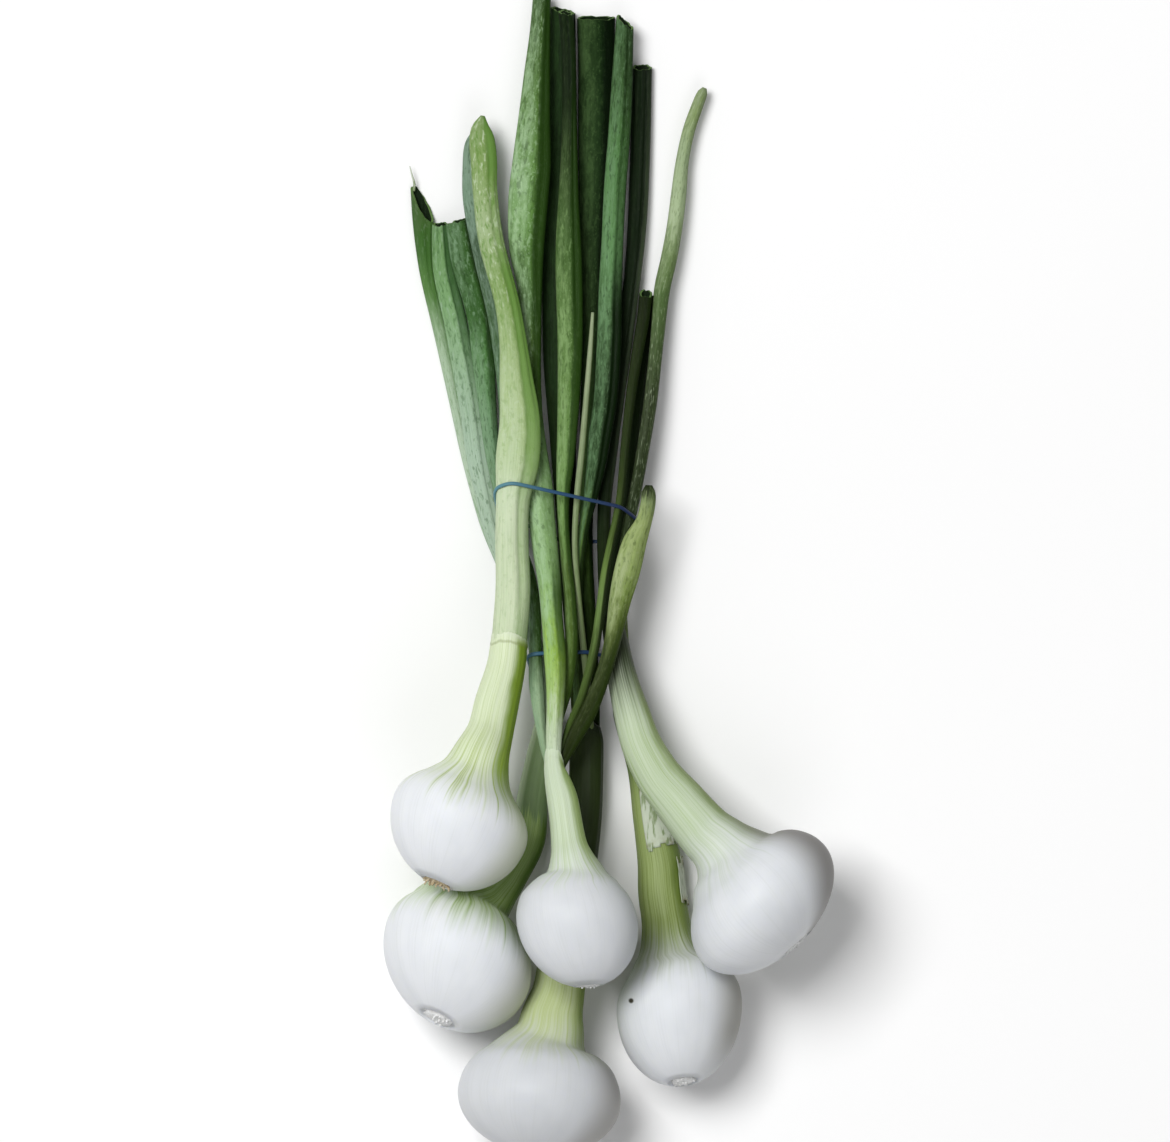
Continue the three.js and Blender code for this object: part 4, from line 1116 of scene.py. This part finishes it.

# Bulb looks. tone: how light the white is. pale: between which millimetres past the widest ring
# the white turns into the colour of the stem. contrast: how strong the stem's fine stripes are.
# streaks: where the darker streaks begin and are thickest. torn: the collar, which on d, e and f is
# dark painted shade where it lies in under the leaves. lit: how far the stem's left edge pales. edge:
# the painted shade along the stem's right side, begun at the share edge_shade_from of the way across
# (-1 to 1). rim: the painted shade along the bulb's right side, begun at rim_shade_from. base: where
# the tint of the root end begins and is full, and how strong it is. far: where the far end of the
# stem darkens, begun and full, and its colour, which is painted shade where the stem runs in under
# the others, near black on d and f.
BULB_LOOKS = {
    "a": dict(
        tone=0.96, pale=(-1, 23), contrast=0.4, streaks=(2, 15), streak=(0.3, 0.4, 0.07),
        stem=(0.65, 0.73, 0.52), torn=(0.64, 0.71, 0.54), edge=(0.17, 0.27, 0.02), edge_shade_from=0.3,
        rim=(0.52, 0.55, 0.42), rim_shade_from=0.5, base=(26, 36, 0.2),
    ),
    "b": dict(
        tone=0.94, pale=(-3, 22), contrast=0.9, streaks=(5, 20), streak=(0.2, 0.31, 0.06),
        stem=(0.36, 0.48, 0.2), torn=(0.3, 0.38, 0.22), edge=(0.09, 0.17, 0.02), edge_shade_from=0.45,
        rim=(0.5, 0.51, 0.44), rim_shade_from=0.5, base=(24, 38, 0.2), far=(57, 61, (0.17, 0.25, 0.11)),
        lit=0.6,
    ),
    "c": dict(
        tone=0.84, pale=(9, 26), contrast=0.4, streaks=(14, 30), streak=(0.4, 0.48, 0.27),
        stem=(0.58, 0.67, 0.51), torn=(0.58, 0.67, 0.5), edge=(0.24, 0.34, 0.1), edge_shade_from=0.35,
        rim=(0.5, 0.52, 0.53), rim_shade_from=0.5, base=(28, 40, 0.1),
    ),
    "d": dict(
        tone=0.78, pale=(8, 27), contrast=0.4, streaks=(22, 44), streak=(0.33, 0.4, 0.12),
        stem=(0.47, 0.54, 0.3), torn=(0.008, 0.014, 0.005), edge=(0.2, 0.28, 0.07), edge_shade_from=0.5,
        rim=(0.28, 0.27, 0.25), rim_shade_from=0.5, base=(22, 34, 0.3),
        far=(58, 84, (0.022, 0.036, 0.008)),
    ),
    "e": dict(
        tone=0.87, pale=(2, 30), contrast=0.7, streaks=(20, 36), streak=(0.14, 0.19, 0.03),
        stem=(0.29, 0.36, 0.14), torn=(0.09, 0.15, 0.04), edge=(0.12, 0.18, 0.03), edge_shade_from=0.4,
        rim=(0.24, 0.235, 0.2), rim_shade_from=0.45, base=(30, 44, 0.2), far=(72, 96, (0.09, 0.15, 0.04)),
    ),
    "f": dict(
        tone=0.9, pale=(8, 36), contrast=0.5, streaks=(40, 62), streak=(0.3, 0.41, 0.16),
        stem=(0.5, 0.58, 0.43), torn=(0.014, 0.024, 0.007), edge=(0.16, 0.23, 0.05), edge_shade_from=0.55,
        rim=(0.085, 0.072, 0.055), rim_shade_from=0.5, base=(15, 30, 0.6),
        far=(76, 106, (0.02, 0.032, 0.009)),
    ),
}


def bulb_white(shader, look, across, reach, veins, mottle):
    """The white layers of the bulb, with faint veins and painted shade along its right edge."""
    white, shade = (tuple(look["tone"] * v for v in colour) for colour in (WHITE, COOL_SHADE))
    body = shader.blend(shader.rise(mottle, 0.35, 0.8), white, shade)
    body = shader.tint(body, shader.rise(veins, 0.52, 0.72), 0.1, VEIN)
    # Painted shade: the bulb's right edge darkens away from the light.
    rim = shader.times(shader.rise(across, look["rim_shade_from"], 1.0), 0.85)
    return shader.tint(body, rim, shader.rise(reach, -31, -12), look["rim"])


def stem_green(shader, look, across, veins, mottle):
    """The striped stem, with painted shade along its right side."""
    stem = shader.blend(shader.rise(veins, 0.42, 0.66), look["stem"], look["streak"])
    stem = shader.blend(look["contrast"], look["stem"], stem)
    # Painted shade along the stem's right side, away from the light.
    shaded_flank = shader.plus(across, shader.times(mottle, 0.5))
    edge_shade_from = look["edge_shade_from"] + 0.2
    return shader.blend(shader.rise(shaded_flank, edge_shade_from, edge_shade_from + 0.45), stem, look["edge"])


def neck_marks(shader, look, reach, streaks, veins):
    """Where the dark streaks of the neck run out into the white of the bulb."""
    begins, thick = look["streaks"]
    zone = shader.rise(shader.plus(reach, shader.swing(streaks, 30.0)), begins, thick)
    past = shader.rise(reach, thick + 26, thick + 4)
    marks = shader.times(shader.rise(streaks, 0.42, 0.7), zone)
    marks = shader.times(marks, shader.rise(veins, 0.2, 0.6))
    return shader.times(marks, shader.plus(shader.times(past, 0.7), 0.08))


def collar_marks(shader, colour, look, ring, ending, veins, mottle):
    """The torn end of the stem, dark with painted shade where it lies under leaves, and the line of
    painted shade in the crease below it.
    """
    torn = shader.plus(ending, shader.times(veins, 5.0))
    # On d, e and f the torn colour is dark painted shade.
    colour = shader.blend(shader.rise(torn, 9.0, 2.5), colour, look["torn"])
    colour = shader.tint(colour, shader.rise(ending, 1.0, 0.2), 0.6 * ring, COLLAR_EDGE)
    # Painted shade along the crease below the collar.
    crease_shade = shader.math("SUBTRACT", shader.plus(ending, shader.times(mottle, 4.0)), 8.0)
    crease_shade = shader.rise(shader.math("ABSOLUTE", crease_shade, 0.0), 0.9, 0.1)
    return shader.tint(colour, crease_shade, 0.45 * ring, CREASE_SHADE)


def dark_speck(shader, colour):
    level = shader.stretched(shader.place(), (1, 1, 0))
    away = shader.node("ShaderNodeVectorMath", {0: level, 1: SPECK_AT}, operation="DISTANCE")
    speck = shader.rise(away["Value"], SPECK_RADIUS * 1.3, SPECK_RADIUS * 0.6)
    return shader.blend(speck, colour, SPECK)


def onion_skin(letter):
    """Smooth layered skin: white bulb, green streaked neck, torn collar and tan root end, with painted
    shade along the right side, in the crease, and over collars and far stems under the leaves.
    """
    look, ring = BULB_LOOKS[letter], ONIONS[letter]["ring"]
    shader = Shader(f"onion_skin_{letter}")
    reach, ending = shader.number("reach"), shader.number("ending")
    across = shader.axes(shader.grain())[0]
    streaks = shader.grained(*BULB_STREAKS)
    veins = shader.grained(*BULB_VEINS)
    mottle = shader.grained(*BULB_MOTTLE)

    uneven_reach = shader.plus(reach, shader.swing(streaks, 22.0))
    greening = shader.rise(uneven_reach, *look["pale"])
    body = bulb_white(shader, look, across, reach, veins, mottle)
    colour = shader.blend(greening, body, stem_green(shader, look, across, veins, mottle))
    marks = neck_marks(shader, look, reach, streaks, veins)
    colour = shader.blend(marks, colour, look["streak"])
    base_from, base_full, base_share = look["base"]
    base = shader.rise(shader.times(reach, -1.0), base_from, base_full)
    colour = shader.tint(colour, base, base_share, ROOT_TINT)
    # Painted shade: the far end of the stem darkens where it runs in under the others.
    if "far" in look:
        far_from, far_full, far_colour = look["far"]
        colour = shader.blend(shader.rise(uneven_reach, far_from, far_full), colour, far_colour)
    if "lit" in look:
        lit = shader.times(shader.rise(across, -0.5, -0.95), look["lit"])
        colour = shader.tint(colour, lit, greening, LIT_EDGE)
    colour = collar_marks(shader, colour, look, ring, ending, veins, mottle)
    if letter == "e":
        colour = dark_speck(shader, colour)
    shader.bump(shader.times(veins, shader.plus(greening, 0.12)), 0.2, 0.0006)
    return shader.finish(
        colour,
        Roughness=0.46,
        Subsurface_Weight=0.12,
        Subsurface_Radius=(0.004, 0.004, 0.002),
        Specular_IOR_Level=0.24,
    )


LEAF_CONTRAST = 1.18  # above 1 this deepens the dark parts of a leaf more than the pale ones
LEAF_GLOSS = 0.04
MOTTLED = [(0, 0.1), (0.4, 0.4)]
CUT_RIM = (0.11, 0.19, 0.06)
# Painted shade inside the hollow of a cut leaf.
HOLLOW_SHADE = (0.006, 0.014, 0.004)

# Leaf looks. run: the colours from foot to end, with painted shade in the dark stretches where the
# leaf lies under others, near black on the leaves deep in the bunch. pale: the bloom along the left
# side, partly the leaf's waxy bloom and partly painted light, with painted highlight specks, and the
# pale blotches. dark: the veins, the dark blotches and the painted shade of the right side, which
# begins at the share shaded_flank of the way across (-1 to 1). left and right: how strong these two
# are at shares of the leaf's length, and so for mottled, pale and dark blotches, if not as MOTTLED
# says. gloss: how strongly the leaf shines, if not as LEAF_GLOSS says.
LEAF_LOOKS = {
    "a_1": dict(
        run=[(0, (0.62, 0.69, 0.5)), (0.3, (0.62, 0.7, 0.51)), (0.38, (0.46, 0.57, 0.32)),
             (0.52, (0.4, 0.51, 0.26)), (0.68, (0.22, 0.34, 0.1)), (0.8, (0.36, 0.46, 0.25)),
             (0.9, (0.24, 0.35, 0.12)), (1, (0.24, 0.34, 0.14))],
        mottled=[(0, 0.1), (0.55, 0.25), (0.75, 0.7), (1, 0.7)],
        pale=(0.56, 0.65, 0.47), dark=(0.16, 0.29, 0.07), shaded_flank=0.22,
        left=[(0, 0.3), (0.4, 0.6), (0.58, 0.3), (0.95, 0.15)],
        right=[(0, 0.7), (0.08, 0.35), (0.28, 0.4), (0.36, 0.65), (0.5, 0.85), (0.7, 0.9), (0.77, 0.25),
               (0.86, 0.25), (0.91, 0.95)],
    ),
    "a_2": dict(
        run=[(0.1, (0.2, 0.31, 0.1)), (0.5, (0.08, 0.17, 0.05)), (0.78, (0.03, 0.07, 0.02)),
             (0.86, (0.2, 0.3, 0.21)), (1, (0.22, 0.31, 0.22))],
        pale=(0.3, 0.4, 0.32), dark=(0.03, 0.07, 0.02), shaded_flank=0.6,
        left=[(0, 0.1), (0.85, 0.6)], right=[(0, 0.5), (1, 1)],
    ),
    "b_1": dict(
        run=[(0.15, (0.09, 0.18, 0.06)), (0.36, (0.3, 0.43, 0.29)), (0.5, (0.47, 0.58, 0.45)),
             (0.72, (0.38, 0.5, 0.34)), (0.84, (0.12, 0.24, 0.07)), (0.92, (0.06, 0.15, 0.03)),
             (1, (0.07, 0.13, 0.035))],
        mottled=[(0, 0.1), (0.4, 0.4), (0.75, 0.3), (0.85, 0.1)],
        pale=(0.54, 0.64, 0.52), dark=(0.1, 0.21, 0.06), shaded_flank=0.35,
        left=[(0, 0.3), (0.45, 0.6), (0.72, 0.4), (0.82, 0.05)], right=[(0, 0.5), (0.6, 0.5)],
    ),
    "b_2": dict(
        run=[(0.3, (0.5, 0.6, 0.48)), (0.55, (0.46, 0.58, 0.46)), (0.85, (0.24, 0.4, 0.19)),
             (0.95, (0.19, 0.33, 0.14)), (1, (0.21, 0.34, 0.17))],
        pale=(0.42, 0.54, 0.43), dark=(0.04, 0.11, 0.03), shaded_flank=0.2,
        left=[(0, 0.5), (0.65, 0.4), (0.75, 0.05)],
        right=[(0, 0.15), (0.6, 0.2), (0.8, 0.7), (1, 0.9)],
    ),
    "c_1": dict(
        run=[(0, (0.65, 0.73, 0.58)), (0.055, (0.57, 0.66, 0.46)), (0.09, (0.42, 0.57, 0.2)),
             (0.14, (0.36, 0.54, 0.09)), (0.18, (0.3, 0.47, 0.13)), (0.24, (0.3, 0.46, 0.2)),
             (0.4, (0.26, 0.41, 0.19)), (0.5, (0.12, 0.21, 0.04)), (0.6, (0.05, 0.11, 0.02)),
             (0.7, (0.15, 0.29, 0.075)), (0.84, (0.1, 0.2, 0.04)), (1, (0.028, 0.065, 0.008))],
        pale=(0.44, 0.6, 0.38), dark=(0.03, 0.07, 0.012), shaded_flank=0.2,
        left=[(0, 0.2), (0.1, 0.3), (0.2, 0.6), (0.46, 0.8), (0.52, 0.55), (0.64, 0.5), (0.76, 0.85),
              (1, 0.35)],
        right=[(0, 0.1), (0.1, 0.6), (0.22, 0.85), (0.28, 0.35), (0.42, 0.35), (0.5, 0.8), (0.8, 0.95)],
    ),
    "c_2": dict(
        run=[(0, (0.36, 0.46, 0.3)), (0.13, (0.38, 0.5, 0.33)), (0.24, (0.07, 0.14, 0.03)),
             (0.4, (0.16, 0.27, 0.1)), (0.6, (0.21, 0.34, 0.2)), (0.74, (0.11, 0.24, 0.08)),
             (0.83, (0.035, 0.11, 0.014)), (1, (0.05, 0.125, 0.025))],
        pale=(0.3, 0.44, 0.29), dark=(0.014, 0.045, 0.005), shaded_flank=0.25,
        left=[(0, 0.6), (0.6, 0.7), (0.75, 0.6), (0.82, 0.2), (0.95, 0.5)],
        right=[(0, 0.3), (0.6, 0.35), (0.72, 0.6), (0.8, 0.95)],
    ),
    "c_3": dict(
        run=[(0.03, (0.4, 0.5, 0.3)), (0.08, (0.1, 0.16, 0.03)), (0.27, (0.08, 0.13, 0.025)),
             (0.34, (0.16, 0.28, 0.08)), (0.43, (0.17, 0.29, 0.09)), (0.5, (0.09, 0.18, 0.035)),
             (0.7, (0.06, 0.12, 0.03)), (0.8, (0.018, 0.038, 0.008)), (0.9, (0.007, 0.016, 0.005))],
        mottled=[(0, 0.1), (0.4, 0.4), (0.72, 0.35), (0.85, 0.06)],
        pale=(0.3, 0.44, 0.2), dark=(0.03, 0.07, 0.012), shaded_flank=0.15,
        left=[(0, 0.1), (0.3, 0.4), (0.4, 0.9), (0.6, 0.8), (0.7, 0.35), (0.8, 0.25), (0.88, 0.04)],
        right=[(0, 0.3), (0.3, 0.8), (0.8, 0.9), (0.9, 0.3)],
    ),
    "c_4": dict(
        run=[(0, (0.02, 0.03, 0.006)), (0.4, (0.035, 0.055, 0.01)), (0.52, (0.13, 0.18, 0.04)),
             (0.62, (0.23, 0.31, 0.09)), (0.7, (0.33, 0.42, 0.16)), (0.88, (0.35, 0.43, 0.18)),
             (0.95, (0.26, 0.33, 0.16)), (0.985, (0.035, 0.05, 0.02))],
        mottled=[(0, 0.03), (0.5, 0.1), (0.6, 0.35)],
        pale=(0.42, 0.49, 0.28), dark=(0.035, 0.06, 0.01), shaded_flank=0.2,
        left=[(0, 0), (0.45, 0.15), (0.58, 0.9), (0.72, 0.8), (0.8, 0.3), (1, 0)],
        right=[(0, 0.5), (0.5, 0.7), (0.6, 0.3), (0.94, 0.3)],
    ),
    "c_5": dict(
        run=[(0.02, (0.36, 0.44, 0.26)), (0.08, (0.07, 0.11, 0.025)), (0.25, (0.08, 0.12, 0.035)),
             (0.36, (0.19, 0.28, 0.1)), (0.42, (0.18, 0.27, 0.08)), (0.5, (0.08, 0.12, 0.03)),
             (0.66, (0.04, 0.06, 0.02)), (1, (0.015, 0.022, 0.008))],
        mottled=[(0, 0.05), (1, 0.05)],
        pale=(0.2, 0.3, 0.1), dark=(0.02, 0.035, 0.008), shaded_flank=0.25,
        left=[(0, 0.3), (0.5, 0.3), (0.6, 0.05)], right=[(0.1, 0.2), (0.3, 0.9)],
    ),
    "d_1": dict(
        run=[(0.1, (0.03, 0.05, 0.012)), (0.28, (0.05, 0.09, 0.02)), (0.4, (0.06, 0.12, 0.035)),
             (0.6, (0.016, 0.032, 0.01)), (0.82, (0.022, 0.05, 0.016)), (1, (0.012, 0.032, 0.008))],
        mottled=[(0, 0.2), (1, 0.2)],
        pale=(0.12, 0.2, 0.08), dark=(0.005, 0.012, 0.004), shaded_flank=0.3, gloss=0.01,
        left=[(0.5, 0.3), (0.8, 0.5)], right=[(0.1, 0.2), (0.3, 0.9)],
    ),
    "d_2": dict(
        run=[(0.1, (0.06, 0.09, 0.02)), (0.3, (0.05, 0.09, 0.02)), (0.5, (0.014, 0.028, 0.008)),
             (1, (0.012, 0.028, 0.008))],
        mottled=[(0, 0.2), (1, 0.2)],
        pale=(0.035, 0.075, 0.024), dark=(0.005, 0.012, 0.004), shaded_flank=0.3,
        left=[(0, 0.25), (1, 1)], right=[(0.1, 0.2), (0.3, 0.9)],
    ),
    "d_3": dict(
        run=[(0.1, (0.2, 0.26, 0.12)), (0.5, (0.2, 0.27, 0.13)), (0.75, (0.26, 0.33, 0.19)),
             (1, (0.37, 0.44, 0.29))],
        mottled=[(0, 0.2), (1, 0.2)],
        pale=(0.4, 0.46, 0.3), dark=(0.14, 0.18, 0.07), shaded_flank=0.6,
        left=[(0, 0.2), (1, 1)], right=[(0, 0.3), (1, 1)],
    ),
    "d_4": dict(
        run=[(0.1, (0.12, 0.18, 0.06)), (0.28, (0.13, 0.22, 0.05)), (0.37, (0.02, 0.045, 0.01)),
             (0.5, (0.016, 0.036, 0.008)), (0.6, (0.07, 0.14, 0.05)), (0.68, (0.14, 0.28, 0.11)),
             (0.8, (0.1, 0.22, 0.07)), (0.92, (0.045, 0.095, 0.028)), (1, (0.05, 0.1, 0.035))],
        pale=(0.2, 0.34, 0.18), dark=(0.008, 0.022, 0.005), shaded_flank=0.1,
        left=[(0, 0.5), (0.35, 0.6), (0.5, 0.55), (0.6, 0.8), (0.8, 0.75), (0.95, 0.4)],
        right=[(0, 0.5), (0.35, 0.95), (0.6, 0.95), (0.68, 0.45), (1, 0.35)],
    ),
    "e_1": dict(
        run=[(0.05, (0.1, 0.14, 0.06)), (0.15, (0.035, 0.055, 0.014)), (0.35, (0.014, 0.024, 0.009)),
             (1, (0.006, 0.014, 0.005))],
        mottled=[(0, 0.05), (1, 0.1)],
        pale=(0.014, 0.03, 0.01), dark=(0.09, 0.12, 0.07), shaded_flank=0.55,
        left=[(0, 0.3), (1, 1)], right=[(0.3, 0.2), (0.5, 0.8), (0.8, 0.6), (1, 0.15)],
    ),
    "f_1": dict(
        run=[(0.1, (0.1, 0.14, 0.03)), (0.2, (0.02, 0.035, 0.008)), (0.45, (0.035, 0.05, 0.02)),
             (0.62, (0.1, 0.17, 0.055)), (0.7, (0.2, 0.28, 0.12)), (0.77, (0.44, 0.54, 0.34)),
             (0.88, (0.36, 0.45, 0.27)), (0.95, (0.26, 0.34, 0.14)), (1, (0.26, 0.32, 0.18))],
        pale=(0.45, 0.53, 0.36), dark=(0.1, 0.14, 0.06), shaded_flank=0.3,
        left=[(0, 0), (0.6, 0.15), (0.75, 0.4)], right=[(0, 0.15), (0.6, 0.3)],
    ),
    "f_2": dict(
        run=[(0.1, (0.05, 0.08, 0.03)), (0.3, (0.014, 0.026, 0.007)), (1, (0.008, 0.016, 0.005))],
        mottled=[(0, 0.2), (1, 0.2)],
        pale=(0.025, 0.045, 0.015), dark=(0.004, 0.009, 0.003), shaded_flank=0.3,
        left=[(0, 0.2), (1, 1)], right=[(0, 0.8), (1, 1)],
    ),
}


def bloom_and_highlights(shader, colour, look, share, bloom_and_light, speckle):
    """The pale bloom of the left side, partly painted light, and pale specks painted on it as
    highlights.
    """
    colour = shader.blend(bloom_and_light, colour, look["pale"])
    # Painted highlights: pale specks on the lit left side.
    highlight_specks = shader.times(shader.rise(speckle, 0.56, 0.68), 0.55)
    return shader.tint(colour, highlight_specks, shader.strength(share, look["left"]), look["pale"])


def blotched(shader, colour, look, share, blotches):
    mottled = shader.strength(share, look.get("mottled", MOTTLED))
    for begins, full, other in ((0.54, 0.68, look["pale"]), (0.46, 0.34, look["dark"])):
        colour = shader.tint(colour, shader.rise(blotches, begins, full), mottled, other)
    return colour


def darkened(shader, colour, look, share, across, upward, patches):
    """Painted shade on the right side, which reaches further across on the underside."""
    right = shader.strength(share, look["right"])
    shaded_flank = shader.plus(across, shader.times(patches, 0.3))
    shaded_flank = shader.rise(shaded_flank, look["shaded_flank"] + 0.05, look["shaded_flank"] + 0.4)
    colour = shader.tint(colour, shaded_flank, right, look["dark"])
    # Painted shade on the underside, away from the light.
    underside_shade = shader.times(shader.rise(upward, 0.7, 0.1), shader.rise(across, -0.3, 0.2))
    return shader.tint(colour, shader.times(underside_shade, right), 0.7, look["dark"])


def leaf_skin(name):
    """Waxy leaf: fine veins along it, pale bloom on its left partly as painted light, speckles painted
    as highlights, and painted shade on its right side, its underside and in its hollow.
    """
    look = LEAF_LOOKS[name]
    shader = Shader(f"leaf_skin_{name}")
    share, inside, rim = (shader.number(key) for key in ("share", "inside", "rim"))
    across, upward = shader.axes(shader.grain())[:2]
    veins = shader.grained(*LEAF_VEINS)
    patches = shader.grained(*LEAF_PATCHES)
    speckle = shader.grained(*LEAF_SPECKLE)
    blotches = shader.grained(*LEAF_BLOTCHES)

    # The run holds painted shade where the leaf lies under others, near black on the leaves deep in the
    # bunch.
    colour = shader.shades(shader.plus(share, shader.swing(patches, 0.12)), look["run"])
    # Painted light on the left side, laid over the leaf's waxy bloom.
    bloom_and_light = shader.times(shader.rise(across, 0.4, -0.45), shader.strength(share, look["left"]))
    uneven = shader.plus(shader.times(shader.rise(patches, 0.36, 0.62), 0.6), 0.4)
    bloom_and_light = shader.times(bloom_and_light, uneven)
    colour = bloom_and_highlights(shader, colour, look, share, bloom_and_light, speckle)
    colour = shader.tint(colour, shader.rise(veins, 0.5, 0.68), 0.28, look["dark"])
    colour = blotched(shader, colour, look, share, blotches)
    # Painted shade on the right side and the underside.
    colour = darkened(shader, colour, look, share, across, upward, patches)
    colour = shader.node("ShaderNodeGamma", {0: colour, 1: LEAF_CONTRAST})[0]
    colour = shader.blend(rim, colour, CUT_RIM)
    # Painted shade inside the hollow of a cut leaf.
    colour = shader.blend(inside, colour, HOLLOW_SHADE)
    shader.bump(shader.plus(veins, shader.times(speckle, 0.8)), 0.4, 0.0005)
    rough = shader.node("ShaderNodeMapRange", {"Value": bloom_and_light, "To Min": 0.3, "To Max": 0.5})[0]
    return shader.finish(
        colour,
        Roughness=rough,
        Specular_IOR_Level=look.get("gloss", LEAF_GLOSS),
        Subsurface_Weight=0.03,
        Subsurface_Radius=(0.001, 0.002, 0.0005),
    )


def dry_skin():
    """Papery whitish skin with fine tan veins."""
    shader = Shader("dry_skin")
    veins = shader.noise(shader.stretched(shader.place(), (1, 0.16, 1)), 900.0)
    patch = shader.noise(shader.place(), 210.0)
    colour = shader.blend(shader.rise(veins, 0.5, 0.66), (0.47, 0.52, 0.41), (0.2, 0.26, 0.13))
    colour = shader.blend(shader.rise(patch, 0.6, 0.85), colour, (0.4, 0.39, 0.32))
    colour = shader.tint(colour, shader.number("fray"), shader.rise(patch, 0.35, 0.6), (0.24, 0.2, 0.1))
    shader.bump(veins, 0.35, 0.0004)
    return shader.finish(colour, Roughness=0.6, Specular_IOR_Level=0.3)


def dry_root(name, dark, middle, light):
    """Fibrous root plate and stubs."""
    shader = Shader(name)
    fibre = shader.noise(shader.place(), 900.0, 4)
    patch = shader.noise(shader.place(), 180.0)
    colour = shader.shades(fibre, [(0.3, dark), (0.5, middle), (0.72, light)])
    colour = shader.blend(shader.rise(patch, 0.5, 0.8), colour, light)
    shader.bump(fibre, 0.5, 0.0004)
    return shader.finish(colour, Roughness=0.85)


def band_rubber():
    """Smooth rubber, teal at the left of the bunch and navy at the right."""
    shader = Shader("band_rubber")
    tone = shader.rise(shader.axes(shader.place())[0], -0.045, 0.012)
    blues = [(0, (0.09, 0.23, 0.27)), (0.4, (0.02, 0.07, 0.15)), (1, (0.005, 0.013, 0.06))]
    dust = shader.noise(shader.place(), 1400.0, 2)
    colour = shader.tint(shader.shades(tone, blues), dust, 0.03, (0.3, 0.45, 0.5))
    shader.bump(dust, 0.12, 0.0002)
    return shader.finish(colour, Roughness=0.5, Specular_IOR_Level=0.25)


def floor_paper():
    """Matt near-white paper."""
    shader = Shader("floor_paper")
    cloud = shader.noise(shader.place(), 4.0, 2)
    return shader.finish(shader.blend(cloud, (0.88, 0.88, 0.88), (0.91, 0.91, 0.91)), Roughness=0.9)


# ---------------------------------------------------------------- the bunch

PALE_LEAVES = ("a_1", "b_2", "c_4", "d_3")
TAN_ROOTS = ("a", "d")


def declare(obj, material, slot, *nodes):
    """Gives a piece its material, puts it under the root body, and hides the solids that it stands for;
    its slot is not used.
    """
    obj.data.materials.append(material)
    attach(obj, "root")
    if nodes:
        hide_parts(*nodes)


def build_onions():
    tan = dry_root("tan_root", (0.22, 0.15, 0.08), (0.46, 0.37, 0.22), (0.64, 0.57, 0.42))
    pale = dry_root("pale_root", (0.6, 0.59, 0.57), (0.73, 0.735, 0.73), (0.82, 0.83, 0.83))
    growers = {material.name: stub_tree(material) for material in (tan, pale)}
    bulbs = {}
    for letter in ONIONS:
        bulbs[letter] = onion_object(letter)
        declare(bulbs[letter], onion_skin(letter), "bulb", f"onion_{letter}_bulb")
        material = tan if letter in TAN_ROOTS else pale
        roots = roots_object(letter, *growers[material.name])
        declare(roots, material, "roots", f"onion_{letter}_roots")
    return bulbs


def build_leaves():
    leaves = {name: leaf_object(name) for name in LEAVES}
    for name, leaf in leaves.items():
        letter, number = name.split("_")
        slot = "pale_leaf" if name in PALE_LEAVES else "leaf"
        declare(leaf, leaf_skin(name), slot, f"onion_{letter}_leaf_{number}")
    return leaves


def build_bunch():
    """All its pieces. The scraps and the wisp stand for no solid, since they are too thin."""
    bulbs = build_onions()
    paper = dry_skin()
    for name, scrap in SCRAPS.items():
        declare(scrap_object(name, scrap, bulbs[scrap["onion"]].data), paper, "bulb")
    leaves = build_leaves()
    declare(wisp_object(), paper, "leaf")
    rubber = band_rubber()
    for name, band in BANDS.items():
        declare(band_object(f"{name}_rubber", band, leaves), rubber, "band", name)


# ---------------------------------------------------------------- stage

VIEW_CENTRE = (-0.00805, 0.00035)
VIEW_WIDTH = 0.4095
VIEW_HEIGHT = 6.0
VIEW_LEVEL = 0.025  # height at which the view is just so wide
SENSOR = 36.0
CLIP_END = 50
FLOOR_SIZE = 12.0
FLOOR_DROP = 0.0002
LIGHTS = {
    "key": dict(place=(-1.4, 1.1, 3.95), size=1.9, watts=166),
    "fill": dict(place=(0.6, -2.4, 3.2), size=2.4, watts=24),
}
SKY_STRENGTH = 0.25


def add_floor():
    bpy.ops.mesh.primitive_plane_add(size=FLOOR_SIZE, location=(0, 0, -FLOOR_DROP))
    floor = bpy.context.object
    floor.name = "floor"
    floor.data.materials.append(floor_paper())


def add_light(name, place, size, watts):
    """A soft square lamp that faces the middle of the bunch."""
    lamp = bpy.data.lights.new(name, "AREA")
    lamp.size = size
    lamp.energy = watts
    obj = add_object(name, lamp)
    obj.location = place
    obj.rotation_euler = (-obj.location).to_track_quat("-Z", "Y").to_euler()


def add_sky():
    world = bpy.data.worlds.new("sky")
    world.use_nodes = True
    sky = world.node_tree.nodes["Background"]
    sky.inputs["Color"].default_value = (1, 1, 1, 1)
    sky.inputs["Strength"].default_value = SKY_STRENGTH
    bpy.context.scene.world = world


def add_camera():
    """Looks straight down, through a long lens."""
    camera = bpy.data.cameras.new("camera")
    camera.sensor_width = SENSOR
    camera.lens = SENSOR * (VIEW_HEIGHT - VIEW_LEVEL) / VIEW_WIDTH
    camera.clip_end = CLIP_END
    obj = add_object("camera", camera)
    obj.location = (*VIEW_CENTRE, VIEW_HEIGHT)
    bpy.context.scene.camera = obj


build_bunch()
add_floor()
for light_name, light in LIGHTS.items():
    add_light(light_name, **light)
add_sky()
add_camera()
bpy.context.scene.view_settings.view_transform = "Standard"
